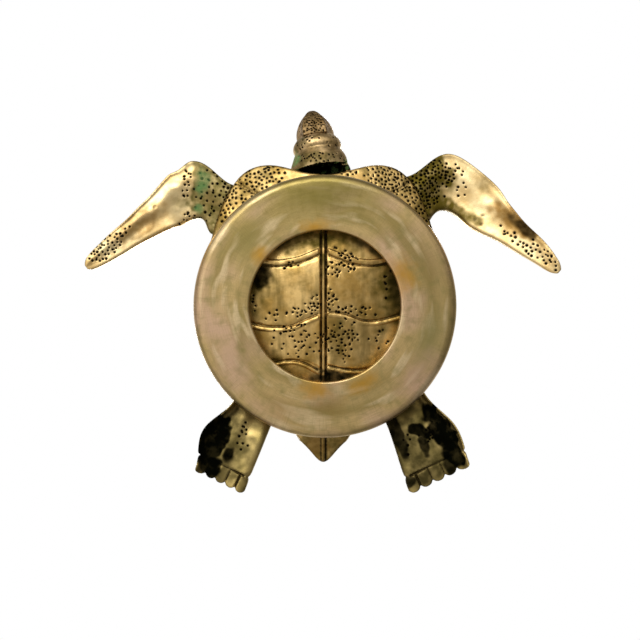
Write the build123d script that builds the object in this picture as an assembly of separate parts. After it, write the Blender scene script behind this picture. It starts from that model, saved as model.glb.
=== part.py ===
from build123d import *
import os
from functools import cache
from math import cos, hypot, radians, sin, sqrt

# A sea turtle of cast brass pieces, brazed together and standing on a turned brass foot ring.
# Millimetres, +Z up, the head towards -Y, the turtle's own left towards +X.
# The origin lies on the ring's axis, in the plane that the ring rests on.

# Foot ring
ring_outer_radius = 66.3
ring_bore_radius = 38.0
ring_height = 10.0
ring_edge_radius = 4.3
ring_lip_radius = 1.0
ring_wall_length = 2.8
ring_relief_width = 2.4
ring_seat_width = 6.3

# Belly plate, a shallow dish that lies in the ring's seat
belly_radius = 218.0
plastron_thickness = 4.5
plastron_edge_radius = 1.6
plastron_seam_width = 1.3
plastron_seam_depth = 0.8
rib_width = 1.5
rib_height = 0.7
rib_groove_width = 1.0
rib_shoulder = 0.15
rib_ring_clearance = 0.6

# Body outline, shared by the belly plate and the shell over it
body_half_width = 62.0
body_front_reach = 73.5
body_tail_reach = 81.0
body_offset_x = -0.8

# Shell over the back
carapace_rise = 31.0
carapace_wall = 3.0
carapace_seam_width = 1.2
carapace_seam_depth = 0.8
carapace_margin = 8.5
dome_sections = 6
dome_curve_power = 0.9

# Neck sleeve
neck_root_x = -2.3
neck_root_reach = 73.1
neck_root_height = 27.0
neck_yaw = 8.9
neck_pitch = 14.0
neck_rim_half_width = 16.4
neck_rim_half_height = 12.0
neck_fold_half_width = 12.8
neck_fold_half_height = 10.4
neck_skirt_length = 8.9
neck_fold_length = 7.3
neck_wall = 2.2

# Head
head_length = 15.4
head_half_width = 10.0
head_half_height = 8.4
head_spigot_length = 6.0
head_spigot_clearance = 0.1
mouth_width = 0.6
mouth_depth = 0.6
eye_radius = 1.7
eye_socket_radius = 2.3

# Front flippers: the blade's size, then where its elbow lies and how it hangs
left_blade_length = 74.0
left_blade_width = 30.0
left_blade_sweep = 39.7
left_elbow_out = 62.6
left_elbow_ahead = 65.2
right_blade_length = 69.4
right_blade_width = 29.0
right_blade_sweep = 36.2
right_elbow_out = 65.4
right_elbow_ahead = 60.9
flipper_thickness = 9.0
flipper_root_lift = 8.5
elbow_lift = 11.0
flipper_tip_height = 8.6

# Rear feet
left_foot_length = 39.2
left_foot_width = 33.5
left_foot_turn = 25.0
right_foot_length = 37.2
right_foot_width = 27.5
right_foot_turn = 25.5
foot_thickness = 6.4
foot_root_lift = 4.0
foot_toe_height = 5.4
toe_count = 5
toe_length = 8.5
toe_groove_width = 1.1

# Braze beads between the ring and the belly plate
bead_radius = 1.5
bead_arc = 15.0
bead_sink_share = 0.25
bead_clock_angles = (90.0, 10.0, -90.0, 150.0)

# One overrun for every cut
cut_overrun = 5.0

# Half of the body's outline from the middle of the front to the tail's tip, as shares of the half
# width and of the front or tail reach
body_outline_shares = (
    (0.0, -0.932), (0.17, -0.948), (0.33, -0.985), (0.5, -1.0), (0.66, -0.95), (0.79, -0.81),
    (0.89, -0.6), (0.97, -0.33), (1.0, 0.0), (0.955, 0.27), (0.83, 0.51), (0.63, 0.67),
    (0.41, 0.755), (0.24, 0.83), (0.105, 0.93), (0.0, 1.0),
)

# Seams of the belly plate on the turtle's left and right, as shares of the half width and of the
# front or tail reach, from the midline outwards
belly_seam_shares = (
    ((0.012, -0.36), (0.29, -0.285), (0.54, -0.3), (1.05, -0.46)),
    ((0.012, 0.035), (0.17, 0.045), (0.37, 0.09), (0.63, 0.05), (1.05, -0.08)),
    ((0.012, 0.37), (0.29, 0.4), (0.6, 0.36), (0.95, 0.3)),
    ((0.3, -0.77), (0.6, -0.81), (0.75, -0.9)),
    ((-0.012, -0.36), (-0.24, -0.29), (-0.5, -0.29), (-1.05, -0.44)),
    ((-0.012, 0.04), (-0.14, 0.08), (-0.3, 0.125), (-0.57, 0.11), (-1.05, 0.0)),
    ((-0.012, 0.41), (-0.23, 0.34), (-0.55, 0.36), (-0.95, 0.3)),
    ((-0.3, -0.77), (-0.6, -0.81), (-0.75, -0.9)),
)

# Seams of the shell on one side, mirrored for the other: the edge of the middle row of plates,
# then the seams that cross the middle row and those that run out to the margin
middle_row_shares = (
    (0.2, -0.8), (0.38, -0.58), (0.24, -0.36), (0.41, -0.12), (0.25, 0.1), (0.38, 0.3),
    (0.2, 0.49), (0.27, 0.66),
)
cross_seam_shares = (
    ((0.0, -0.36), (0.24, -0.36)), ((0.0, 0.1), (0.25, 0.1)), ((0.0, 0.49), (0.2, 0.49)),
)
side_seam_shares = (
    ((0.38, -0.58), (0.72, -0.66)), ((0.41, -0.12), (0.86, -0.2)), ((0.38, 0.3), (0.76, 0.36)),
)

# Sections of the neck sleeve: place along its length, half width and half height, as shares of
# the skirt's length and rim, then of the fold's length and size
skirt_shares = ((0.0, 1.0, 1.0), (0.34, 0.94, 0.95), (0.68, 0.83, 0.87), (1.0, 0.735, 0.8))
fold_shares = ((-0.06, 0.93, 0.91), (0.2, 1.0, 1.0), (0.5, 0.985, 0.99), (0.8, 0.89, 0.9),
               (1.0, 0.8, 0.81))

# Sections of the head from the neck to the beak: place along the length, size, and how far the
# middle of the section drops, as shares of the length and of the half height
head_shares = ((-0.06, 0.97, 0.0), (0.2, 1.0, 0.0), (0.42, 0.93, 0.02), (0.62, 0.78, 0.06),
               (0.8, 0.56, 0.12), (0.92, 0.34, 0.18), (1.0, 0.1, 0.22))
# Half of a head section from the brow down to the chin, a broad brow over a narrower jaw, as shares
# of the half width and half height
head_section_shares = ((0.0, 1.0), (0.68, 0.78), (1.0, 0.18), (0.84, -0.28), (0.66, -0.8), (0.0, -1.0))

# The eye's place out from the middle, up and along the head, and the mouth line's place down and
# along, as shares of the half width, the half height and the length
eye_place_shares = (0.72, 0.34, 0.5)
mouth_place_shares = (0.3, 0.35)

# Sections of a limb, as shares of its chord and thickness, over the top from the leading edge and
# back along the underside: a full leading edge, a thin trailing edge and a hollowed underside
flipper_top_shares = ((0.0, 0.0), (0.06, 0.28), (0.24, 0.47), (0.52, 0.5), (0.8, 0.33), (1.0, 0.0))
flipper_sole_shares = ((1.0, 0.0), (0.86, -0.26), (0.56, -0.3), (0.26, -0.4), (0.06, -0.3),
                       (0.0, 0.0))
foot_top_shares = ((0.0, 0.0), (0.08, 0.34), (0.3, 0.5), (0.7, 0.5), (0.92, 0.34), (1.0, 0.0))
foot_sole_shares = ((1.0, 0.0), (0.93, -0.38), (0.6, -0.18), (0.34, -0.18), (0.07, -0.38),
                    (0.0, 0.0))

# Stations of the front flippers from inside the body to the tip. Each has its leading point and
# its trailing point, as shares of the blade's length along it and of its width across it, then
# the thickness and how far it has come from the elbow's height (0) to the root's (-1) or the
# tip's (1)
left_flipper_shares = (
    (-0.25, 0.78, 0.02, 1.1, 1.0, -1.0),
    (-0.244, 0.4, 0.09, 0.82, 1.0, -0.8),
    (-0.175, -0.04, 0.09, 0.58, 1.0, -0.45),
    (-0.12, -0.39, 0.12, 0.39, 1.0, 0.0),
    (0.14, -0.53, 0.26, 0.33, 0.95, 0.1),
    (0.295, -0.51, 0.32, 0.345, 0.88, 0.2),
    (0.42, -0.41, 0.42, 0.31, 0.78, 0.34),
    (0.55, -0.325, 0.55, 0.235, 0.68, 0.5),
    (0.68, -0.27, 0.68, 0.2, 0.58, 0.66),
    (0.8, -0.23, 0.8, 0.165, 0.5, 0.8),
    (0.9, -0.165, 0.9, 0.14, 0.42, 0.91),
    (0.965, -0.1, 0.965, 0.11, 0.34, 0.97),
    (1.0, -0.03, 1.0, 0.055, 0.22, 1.0),
)
right_flipper_shares = (
    (-0.28, 0.74, -0.02, 1.25, 1.0, -1.0),
    (-0.234, 0.31, 0.1, 0.84, 1.0, -0.8),
    (-0.18, -0.02, 0.118, 0.6, 1.0, -0.45),
    (-0.12, -0.43, 0.134, 0.39, 1.0, 0.0),
    (0.145, -0.535, 0.27, 0.32, 0.95, 0.1),
    (0.3, -0.44, 0.3, 0.3, 0.88, 0.2),
    (0.42, -0.38, 0.42, 0.24, 0.78, 0.34),
    (0.55, -0.31, 0.55, 0.2, 0.68, 0.5),
    (0.68, -0.265, 0.68, 0.18, 0.58, 0.66),
    (0.8, -0.22, 0.8, 0.165, 0.5, 0.8),
    (0.9, -0.17, 0.9, 0.14, 0.42, 0.91),
    (0.97, -0.11, 0.97, 0.1, 0.34, 0.97),
    (1.0, -0.04, 1.0, 0.045, 0.22, 1.0),
)

# Stations of the rear feet from inside the body to the toes: place along the foot, outer edge,
# inner edge, thickness and drop, as shares of the length, the width, the thickness and the fall
left_foot_shares = (
    (-0.3, 0.36, 0.34, 1.1, 0.0), (0.0, 0.37, 0.36, 1.05, 0.1), (0.25, 0.4, 0.38, 1.0, 0.35),
    (0.5, 0.47, 0.42, 0.95, 0.6), (0.75, 0.52, 0.46, 0.88, 0.82), (0.95, 0.52, 0.49, 0.8, 0.95),
    (1.12, 0.5, 0.5, 0.75, 1.0),
)
right_foot_shares = (
    (-0.3, 0.4, 0.42, 1.1, 0.0), (0.0, 0.42, 0.42, 1.05, 0.1), (0.25, 0.47, 0.44, 1.0, 0.35),
    (0.5, 0.52, 0.46, 0.95, 0.6), (0.75, 0.52, 0.48, 0.88, 0.82), (0.95, 0.5, 0.5, 0.8, 0.95),
    (1.12, 0.48, 0.5, 0.75, 1.0),
)
# How much of the foot's thickness is left under the grooves between the toes
toe_web_share = 0.6
# The radius of a toe's tip, as a share of the toe's width
toe_round_share = 0.56
# Where each foot's root lies, as shares of the half width and of the tail reach
left_foot_root_shares = (0.68, 0.65)
right_foot_root_shares = (-0.595, 0.685)

# Heights of the belly's spherical faces
seat_inner_radius = ring_bore_radius + ring_relief_width
seat_outer_radius = seat_inner_radius + ring_seat_width
belly_centre_z = ring_height + sqrt(belly_radius**2 - seat_outer_radius**2)
plate_top_radius = belly_radius - plastron_thickness
plate_middle_radius = belly_radius - plastron_thickness / 2


def belly_z(radius):
    """Height of the belly plate's underside at a radius from the ring's axis."""
    return belly_centre_z - sqrt(belly_radius**2 - radius**2)


def plate_top_z(radius):
    """Height of the belly plate's upper face at a radius from the ring's axis."""
    return belly_centre_z - sqrt(plate_top_radius**2 - radius**2)


rim_z = belly_z(body_half_width)
dome_base_z = plate_top_z(body_half_width) - plastron_thickness / 2
dome_top_z = dome_base_z + carapace_rise
cut_height = dome_top_z + cut_overrun


def belly_ball(inset=0.0):
    """The ball whose lower face is the belly, drawn in by inset."""
    return Pos(0, 0, belly_centre_z) * Sphere(belly_radius - inset)


def body_point(x_share, y_share, inset=0.0, size=1.0):
    """A point of the plan, from shares of the half width and of the front or tail reach."""
    reach = body_front_reach if y_share < 0 else body_tail_reach
    return (
        body_offset_x + (body_half_width - inset) * size * x_share,
        (reach - inset) * size * y_share,
    )


def closed_curve(points, guide):
    """A smooth closed curve of two halves through points spaced along it as the guide's are."""
    steps = [hypot(b[0] - a[0], b[1] - a[1]) for a, b in zip(guide, guide[1:] + guide[:1])]
    places = [sum(steps[:count]) / sum(steps) for count in range(len(steps) + 1)]
    curve = Edge.make_spline(points, periodic=True, parameters=places)
    return Wire([curve.trim(0.0, 0.5), curve.trim(0.5, 1.0)])


def body_outline(inset=0.0, roundness=0.0, size=1.0, z=0.0):
    """The body's closed outline at a height, rounded towards an ellipse by a share."""
    ring = [*body_outline_shares]
    ring += [(-x, y) for x, y in reversed(body_outline_shares[1:-1])]
    points = []
    for x_share, y_share in ring:
        stretch = size * (1 + roundness * (1 / hypot(x_share, y_share) - 1))
        points.append(Vector(*body_point(x_share, y_share, inset, stretch), z))
    return closed_curve(points, ring)


def body_prism(inset=0.0, top=cut_height):
    """The body's outline carried straight up from the table."""
    return extrude(Face(body_outline(inset)), top)


def dome(inset=0.0):
    """The solid dome under the shell's outer face, drawn in by inset all over."""
    wires = []
    for section in range(dome_sections):
        angle = radians(90) * section / dome_sections
        wires.append(body_outline(
            inset, roundness=sin(angle), size=cos(angle) ** dome_curve_power,
            z=dome_base_z + (carapace_rise - inset) * sin(angle),
        ))
    apex = Vertex(body_offset_x, 0, dome_base_z + carapace_rise - inset)
    return Solid.make_loft([*wires, apex])


def seam_sketch(lines, width):
    """The strips that a pattern of seams covers in plan, as one sketch."""
    runs = [Spline(*points) if len(points) > 2 else Line(*points) for points in lines]
    return trace(runs, line_width=width)


@cache
def foot_ring():
    """The turned ring: a flat land, a rolled outer edge and a dished seat for the belly."""
    land_edge = ring_outer_radius - ring_edge_radius
    wall_top = ring_lip_radius + ring_wall_length
    seat_middle = (seat_inner_radius + seat_outer_radius) / 2
    lip_middle = ring_lip_radius * (1 - sqrt(0.5))
    edge_height = 2 * ring_edge_radius
    profile = [
        Line((ring_bore_radius + ring_lip_radius, 0, 0), (land_edge, 0, 0)),
        ThreePointArc(
            (land_edge, 0, 0), (ring_outer_radius, 0, ring_edge_radius), (land_edge, 0, edge_height)
        ),
        Line((land_edge, 0, edge_height), (seat_outer_radius, 0, ring_height)),
        ThreePointArc(
            (seat_outer_radius, 0, ring_height),
            (seat_middle, 0, belly_z(seat_middle)),
            (seat_inner_radius, 0, belly_z(seat_inner_radius)),
        ),
        Line((seat_inner_radius, 0, belly_z(seat_inner_radius)), (ring_bore_radius, 0, wall_top)),
        Line((ring_bore_radius, 0, wall_top), (ring_bore_radius, 0, ring_lip_radius)),
        ThreePointArc(
            (ring_bore_radius, 0, ring_lip_radius),
            (ring_bore_radius + lip_middle, 0, lip_middle),
            (ring_bore_radius + ring_lip_radius, 0, 0),
        ),
    ]
    return revolve(make_face(profile), axis=Axis.Z)


def belly_rib():
    """The raised midline rib, in the ring's hole and again on the tail."""
    hole_end = seat_inner_radius - rib_ring_clearance
    tail_start = (seat_outer_radius + ring_outer_radius) / 2
    tail_length = body_tail_reach - tail_start
    shell = belly_ball(-rib_height) - belly_ball(belly_radius - plate_middle_radius)
    hole_part = Pos(body_offset_x, 0, 0) * Box(
        rib_width, 2 * hole_end, cut_height, align=(Align.CENTER, Align.CENTER, Align.MIN)
    )
    tail_part = Pos(body_offset_x, tail_start, 0) * Box(
        rib_width, tail_length, cut_height, align=(Align.CENTER, Align.MIN, Align.MIN)
    )
    return (hole_part + tail_part) & shell & body_prism(rib_width)


@cache
def plastron():
    """The belly plate: a dished plate with gull-wing seams and a rib between two grooves."""
    plate = plate_block()
    centre = Vector(0, 0, belly_centre_z)
    rims = plate.edges().filter_by(lambda edge: edge.length > body_tail_reach)
    lower = rims.filter_by(lambda edge: (edge @ 0.5 - centre).length > plate_middle_radius)
    plate = fillet(lower, plastron_edge_radius)
    lines = [[body_point(x, y) for x, y in shares] for shares in belly_seam_shares]
    pattern = seam_sketch(lines, plastron_seam_width)
    for side in (-1, 1):
        x = body_offset_x + side * ((rib_width + rib_groove_width) / 2 + rib_shoulder)
        pattern += Pos(x, 0) * Rectangle(rib_groove_width, 2 * body_tail_reach + cut_overrun)
    plate -= extrude(pattern, cut_height) - belly_ball(plastron_seam_depth)
    return plate + belly_rib()


@cache
def shell_block():
    """The solid inside the shell's outer face, down to the belly plate."""
    return (body_prism(top=dome_base_z) + dome()) & belly_ball(plastron_thickness)


@cache
def plate_block():
    """The belly plate before its rim is rounded and its seams are cut."""
    return (body_prism() & belly_ball()) - belly_ball(plastron_thickness)


@cache
def body_block():
    """The belly plate and the space under the shell as one solid, for coping what joins them."""
    return plate_block() + shell_block()


def carapace():
    """The shell: a hollow dome on the belly plate, with seams between its plates and margin."""
    hollow = body_prism(carapace_wall, dome_base_z) + dome(carapace_wall)
    shell = shell_block() - hollow
    lines = []
    for side in (-1, 1):
        for shares in (middle_row_shares, *cross_seam_shares, *side_seam_shares):
            lines.append([body_point(side * x, y) for x, y in shares])
    plates = seam_sketch(lines, carapace_seam_width)
    margin = Face(body_outline(carapace_margin))
    margin -= Face(body_outline(carapace_margin + carapace_seam_width))
    floor = dome(carapace_seam_depth)
    for pattern in (plates, margin):
        shell -= Pos(0, 0, dome_base_z) * extrude(pattern, cut_height) - floor
    return shell


def along(origin, across, forward):
    """The placing of a piece that is modelled along +Z, with +X across it."""
    return Plane(origin=origin, x_dir=across, z_dir=forward).location


def neck_place():
    """Where the neck starts, turned a little to the turtle's right and raised."""
    yaw, pitch = radians(neck_yaw), radians(neck_pitch)
    return along(
        (neck_root_x, -neck_root_reach, neck_root_height),
        (cos(yaw), -sin(yaw), 0),
        (-sin(yaw) * cos(pitch), -cos(yaw) * cos(pitch), sin(pitch)),
    )


def ellipse_loft(sections):
    """A loft through ellipses at places along Z, each with its half width and half height."""
    return Solid.make_loft([
        Wire([Edge.make_ellipse(half_width, half_height, Plane((0, 0, place)))])
        for place, half_width, half_height in sections
    ])


def neck_skin(inset=0.0):
    """The neck's outer form, drawn in by inset: a flared skirt behind one rolled fold."""
    skirt = ellipse_loft([
        (place * neck_skirt_length, neck_rim_half_width * width - inset,
         neck_rim_half_height * height - inset)
        for place, width, height in skirt_shares
    ])
    fold = ellipse_loft([
        (neck_skirt_length + place * neck_fold_length, neck_fold_half_width * width - inset,
         neck_fold_half_height * height - inset)
        for place, width, height in fold_shares
    ])
    return skirt + fold


def head_socket(clearance=0.0):
    """The plug of the head inside the neck, grown by a clearance."""
    size = head_shares[0][1]
    tip = neck_skirt_length + neck_fold_length
    half_width = (head_half_width - neck_wall / 2) * size + clearance
    half_height = (head_half_height - neck_wall / 2) * size + clearance
    start = tip - head_spigot_length - clearance
    return ellipse_loft([(start, half_width, half_height), (tip, half_width, half_height)])


def neck():
    """The neck sleeve, open behind, coped to the body that it is brazed to."""
    sleeve = neck_skin() - neck_skin(neck_wall) - head_socket(head_spigot_clearance)
    return (neck_place() * sleeve) - body_block()


def head_form(inset=0.0):
    """The head's skin from the neck to the beak, drawn in by inset."""
    wires = []
    for place, size, drop in head_shares:
        z = neck_skirt_length + neck_fold_length + place * head_length
        halves = []
        for side in (1, -1):
            points = [
                Vector(side * (head_half_width * size - inset) * x,
                       (head_half_height * size - inset) * y - head_half_height * drop, z)
                for x, y in head_section_shares
            ]
            across = Vector(side, 0, 0)
            halves.append(Edge.make_spline(points, tangents=[across, across * -1]))
        wires.append(Wire(halves))
    return Solid.make_loft(wires)


def head():
    """The head with its plug, a mouth line over the narrower jaw, and an eye on each side."""
    neck_tip = neck_skirt_length + neck_fold_length
    mouth_height, mouth_start = mouth_place_shares
    skin = head_form()
    slot = Pos(0, -head_half_height * mouth_height, neck_tip + head_length * mouth_start) * Box(
        3 * head_half_width, mouth_width, head_length, align=(Align.CENTER, Align.CENTER, Align.MIN)
    )
    form = skin - (slot - head_form(mouth_depth))
    for side in (-1, 1):
        out, up, place = eye_place_shares
        eye_x = side * head_half_width * out
        eye_y = head_half_height * up
        eye_z = neck_tip + head_length * place
        form -= Pos(eye_x + side * eye_radius, eye_y, eye_z) * Sphere(eye_socket_radius)
        form += Pos(eye_x, eye_y, eye_z) * Sphere(eye_radius)
    front = Pos(0, 0, neck_tip) * Box(
        4 * head_half_width, 4 * head_half_height, 2 * head_length,
        align=(Align.CENTER, Align.CENTER, Align.MIN),
    )
    return neck_place() * ((form & front) + head_socket())


def chord_section(front, back, thickness, top_shares, sole_shares):
    """A closed lens in the upright plane through a leading and a trailing point."""
    up = Vector(0, 0, 1)

    def arc(shares, start):
        points = [front + (back - front) * chord_share + up * (thickness * up_share)
                  for chord_share, up_share in shares]
        return Edge.make_spline(points, tangents=[start, start * -1])

    return Wire([arc(top_shares, up), arc(sole_shares, up * -1)])


def flipper(side, length, width, sweep, out, ahead, stations):
    """A front flipper from its shoulder, over the elbow, to the tip of the swept blade."""
    angle = radians(sweep)
    elbow = Vector(side * out, -ahead, 0)
    axis = Vector(side * cos(angle), sin(angle), 0)
    across = Vector(-side * sin(angle), cos(angle), 0)
    elbow_z = rim_z + elbow_lift
    root_drop = elbow_lift - flipper_root_lift
    tip_drop = elbow_z - flipper_tip_height
    wires = []
    for front_along, front_across, back_along, back_across, thick, fall in stations:
        height = elbow_z + (fall * root_drop if fall < 0 else -fall * tip_drop)
        lift = Vector(0, 0, height)
        front = elbow + axis * (front_along * length) + across * (front_across * width) + lift
        back = elbow + axis * (back_along * length) + across * (back_across * width) + lift
        wires.append(chord_section(
            front, back, thick * flipper_thickness, flipper_top_shares, flipper_sole_shares
        ))
    return Solid.make_loft(wires) - body_block()


def front_flipper_left():
    """The flipper on the turtle's left, the longer of the two."""
    return flipper(1, left_blade_length, left_blade_width, left_blade_sweep,
                   left_elbow_out, left_elbow_ahead, left_flipper_shares)


def front_flipper_right():
    """The flipper on the turtle's right."""
    return flipper(-1, right_blade_length, right_blade_width, right_blade_sweep,
                   right_elbow_out, right_elbow_ahead, right_flipper_shares)


def rear_foot(side, length, width, turn, root_shares, stations):
    """A rear foot: a paddle with a hollowed sole that ends in five short grooved toes."""
    angle = radians(turn)
    root = Vector(*body_point(*root_shares), 0)
    forward = Vector(side * sin(angle), cos(angle), 0)
    outward = Vector(side * cos(angle), -sin(angle), 0)
    plan = Plane(root, x_dir=outward * side, z_dir=(0, 0, 1)).location
    root_z = rim_z + foot_root_lift

    def paddle(fullness=1.0, inset=0.0):
        wires = []
        for place, outer, inner, thick, fall in stations:
            height = Vector(0, 0, root_z - fall * (root_z - foot_toe_height))
            middle = root + forward * (place * length) + height
            wires.append(chord_section(
                middle + outward * (outer * width - inset),
                middle - outward * (inner * width - inset),
                thick * foot_thickness * fullness, foot_top_shares, foot_sole_shares,
            ))
        return Solid.make_loft(wires)

    outer_edge, inner_edge = stations[-2][1] * width, stations[-2][2] * width
    toe_width = (outer_edge + inner_edge) / toe_count
    toe_round = toe_width * toe_round_share
    toe_base = length - toe_length
    outline = Pos(0, -toe_round) * Rectangle(2 * width, 2 * length)
    grooves = Pos(0, toe_base) * Rectangle(2 * width, toe_groove_width)
    for toe in range(toe_count):
        edge = outer_edge - toe * toe_width
        outline += Pos(side * (edge - toe_width / 2), length - toe_round) * Circle(toe_round)
        if toe:
            grooves += Pos(side * edge, toe_base + length / 2) * Rectangle(toe_groove_width, length)
    cuts = extrude(plan * grooves, cut_height) - paddle(toe_web_share, toe_groove_width)
    return (paddle() & extrude(plan * outline, cut_height)) - cuts - body_block()


def rear_foot_left():
    """The foot on the turtle's left, the broader of the two."""
    return rear_foot(1, left_foot_length, left_foot_width, left_foot_turn,
                     left_foot_root_shares, left_foot_shares)


def rear_foot_right():
    """The foot on the turtle's right."""
    return rear_foot(-1, right_foot_length, right_foot_width, right_foot_turn,
                     right_foot_root_shares, right_foot_shares)


def ring_braze_beads():
    """The beads of braze that hold the ring to the belly plate, at the hole's upper corner."""
    corner = seat_inner_radius - bead_radius * bead_sink_share
    beads = []
    for clock_angle in bead_clock_angles:
        disc = Pos(corner, 0, belly_z(corner)) * (Rot(90, 0, 0) * Circle(bead_radius))
        bead = Rot(0, 0, clock_angle - bead_arc / 2) * revolve(disc, Axis.Z, bead_arc)
        beads.append(bead - foot_ring() - plastron())
    return Compound(children=[solid for bead in beads for solid in bead.solids()])


NODES = {
    "foot_ring": foot_ring,
    "plastron": plastron,
    "carapace": carapace,
    "neck": neck,
    "head": head,
    "front_flipper_left": front_flipper_left,
    "front_flipper_right": front_flipper_right,
    "rear_foot_left": rear_foot_left,
    "rear_foot_right": rear_foot_right,
    "ring_braze_beads": ring_braze_beads,
}

os.makedirs("parts", exist_ok=True)
for name, make in NODES.items():
    export_step(make(), f"parts/{name}.step")
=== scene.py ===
"""Dresses a sea turtle of cast brass pieces that stands on a turned brass foot ring.

The camera looks straight up at the turtle's belly, so the underside gets the closest work: the sanded
ring, the plates in its bore, and the punched and tarnished castings around it.
"""
import logging
from dataclasses import dataclass
from enum import Enum
from math import cos, pi, radians, sin, sqrt
from typing import Any

import bmesh
import bpy
import numpy as np
from mathutils import Matrix, Vector, noise
from mathutils.bvhtree import BVHTree
from mathutils.kdtree import KDTree


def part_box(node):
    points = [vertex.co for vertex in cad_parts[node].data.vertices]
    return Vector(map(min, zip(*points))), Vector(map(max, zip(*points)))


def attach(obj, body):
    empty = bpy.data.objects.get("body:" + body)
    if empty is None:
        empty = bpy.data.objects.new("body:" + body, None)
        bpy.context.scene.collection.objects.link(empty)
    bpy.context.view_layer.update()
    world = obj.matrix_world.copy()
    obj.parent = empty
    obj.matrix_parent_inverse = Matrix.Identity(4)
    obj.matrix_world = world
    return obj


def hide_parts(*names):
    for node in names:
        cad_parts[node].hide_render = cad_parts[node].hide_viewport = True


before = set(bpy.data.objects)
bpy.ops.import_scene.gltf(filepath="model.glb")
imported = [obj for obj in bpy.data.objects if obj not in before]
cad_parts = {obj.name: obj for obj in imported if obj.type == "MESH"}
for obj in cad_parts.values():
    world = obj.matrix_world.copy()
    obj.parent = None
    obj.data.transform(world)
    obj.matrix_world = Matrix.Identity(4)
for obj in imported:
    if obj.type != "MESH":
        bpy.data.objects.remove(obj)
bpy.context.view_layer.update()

LOG = logging.getLogger("turtle")

MM = 0.001
WHOLE_TURN = 2 * pi

# The ring's sizes, in millimetres.
RING_BORE_RADIUS = 38.0
RING_EDGE_RADIUS = 4.3
RING_LIP_RADIUS = 1.0
RING_HEIGHT = 10.0
RING_WALL_TOP = 3.8
RING_SEAT_INNER_RADIUS = 40.4
RING_SEAT_OUTER_RADIUS = 46.7

# The ball that the ring's seat shares with the underside of the belly plate.
BELLY_RADIUS = 218.0
BELLY_CENTRE_Z = RING_HEIGHT + sqrt(BELLY_RADIUS**2 - RING_SEAT_OUTER_RADIUS**2)

# Vertices closer than this are one, in millimetres: in a solid's mesh, and in a spun one.
SOLID_MERGE = 0.002
SPUN_MERGE = 0.001

# A piece that has more triangles than this is thinned, in its faces that look this squarely towards
# the side that other pieces hide.
MOST_TRIANGLES = 192_000
HIDDEN_FACING = 0.3

# How far out a stain is gone, as a share of its oval, before its edge is made ragged.
STAIN_END = 1.2

# The offset that stands for a point well beyond a seam: past its ends by more than the margin, or
# above the underside's top. In millimetres.
FAR_OFFSET = 99.0
SEAM_MARGIN = 4.0
UNDERSIDE_TOP = 15.0


def linear(hex_colour: str) -> tuple[float, float, float, float]:
    """Turns an sRGB hex colour into a linear one.

    Args:
        hex_colour: The colour as six hex digits.

    Returns:
        Linear red, green, blue and a full alpha.
    """
    channels = [int(hex_colour[place:place + 2], 16) / 255 for place in (0, 2, 4)]
    bent = [c / 12.92 if c <= 0.04045 else ((c + 0.055) / 1.055) ** 2.4 for c in channels]
    return (*bent, 1.0)


def add_node(tree: bpy.types.NodeTree, kind: str, settings: dict[str, Any] | None = None,
             inputs: dict[Any, Any] | None = None) -> bpy.types.Node:
    """Adds a shader node with its settings and links.

    Args:
        tree: The node tree to add to.
        kind: The node's Blender type.
        settings: Attributes of the node, by name.
        inputs: Values or output sockets, by the name or number of the input that takes them.

    Returns:
        The new node.
    """
    node = tree.nodes.new(kind)
    for name, value in (settings or {}).items():
        setattr(node, name, value)
    for key, value in (inputs or {}).items():
        if isinstance(value, bpy.types.NodeSocket):
            tree.links.new(value, node.inputs[key])
        else:
            node.inputs[key].default_value = value
    return node


def tinged(tree: bpy.types.NodeTree, colour: Any, tone: str, pattern: bpy.types.NodeSocket,
           span: tuple[float, float], strength: float) -> bpy.types.NodeSocket:
    """Lays a tone over a colour where a pattern runs high.

    Args:
        tree: The node tree.
        colour: The colour below, as a value or an output socket.
        tone: The tone as six hex digits.
        pattern: The pattern.
        span: The pattern's values where the tone starts to show and where it shows in full.
        strength: How much of it shows there.

    Returns:
        The mixed colour.
    """
    share = add_node(tree, "ShaderNodeMapRange", inputs={
        "Value": pattern, "From Min": span[0], "From Max": span[1], "To Max": strength})
    return add_node(tree, "ShaderNodeMix", {"data_type": "RGBA"},
                    {0: share.outputs[0], 6: colour, 7: linear(tone)}).outputs[2]


def broken(tree: bpy.types.NodeTree, mask: bpy.types.NodeSocket, pattern: bpy.types.NodeSocket,
           low: float, high: float) -> bpy.types.NodeSocket:
    """Breaks a mask up by a pattern.

    Args:
        tree: The node tree.
        mask: The mask.
        pattern: The pattern, about 0.3 to 0.7.
        low: What the mask is multiplied by where the pattern is low.
        high: What it is multiplied by where the pattern is high.

    Returns:
        The broken mask, from 0 to 1.
    """
    gain = add_node(tree, "ShaderNodeMapRange", inputs={
        "Value": pattern, "From Min": 0.34, "From Max": 0.64, "To Min": low, "To Max": high})
    return add_node(tree, "ShaderNodeMath", {"operation": "MULTIPLY", "use_clamp": True},
                    {0: mask, 1: gain.outputs[0]}).outputs[0]


def smooth_step(values: np.ndarray, low: float, high: float) -> np.ndarray:
    """Rises smoothly from 0 at low to 1 at high.

    Args:
        values: The values to map.
        low: Where the rise starts.
        high: Where it ends.

    Returns:
        The mapped values.
    """
    share = np.clip((values - low) / (high - low), 0, 1)
    return share * share * (3 - 2 * share)


def cloud(points: np.ndarray, grain: float, seed: float) -> np.ndarray:
    """Gives a soft random field, from about -1 to 1, over points in millimetres.

    Args:
        points: The points, one to a row.
        grain: The size of one lump in millimetres.
        seed: An offset that gives another field.

    Returns:
        One value for each point.
    """
    return np.array([noise.noise(Vector(row) / grain + Vector((seed, seed, seed))) for row in points])


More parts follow.
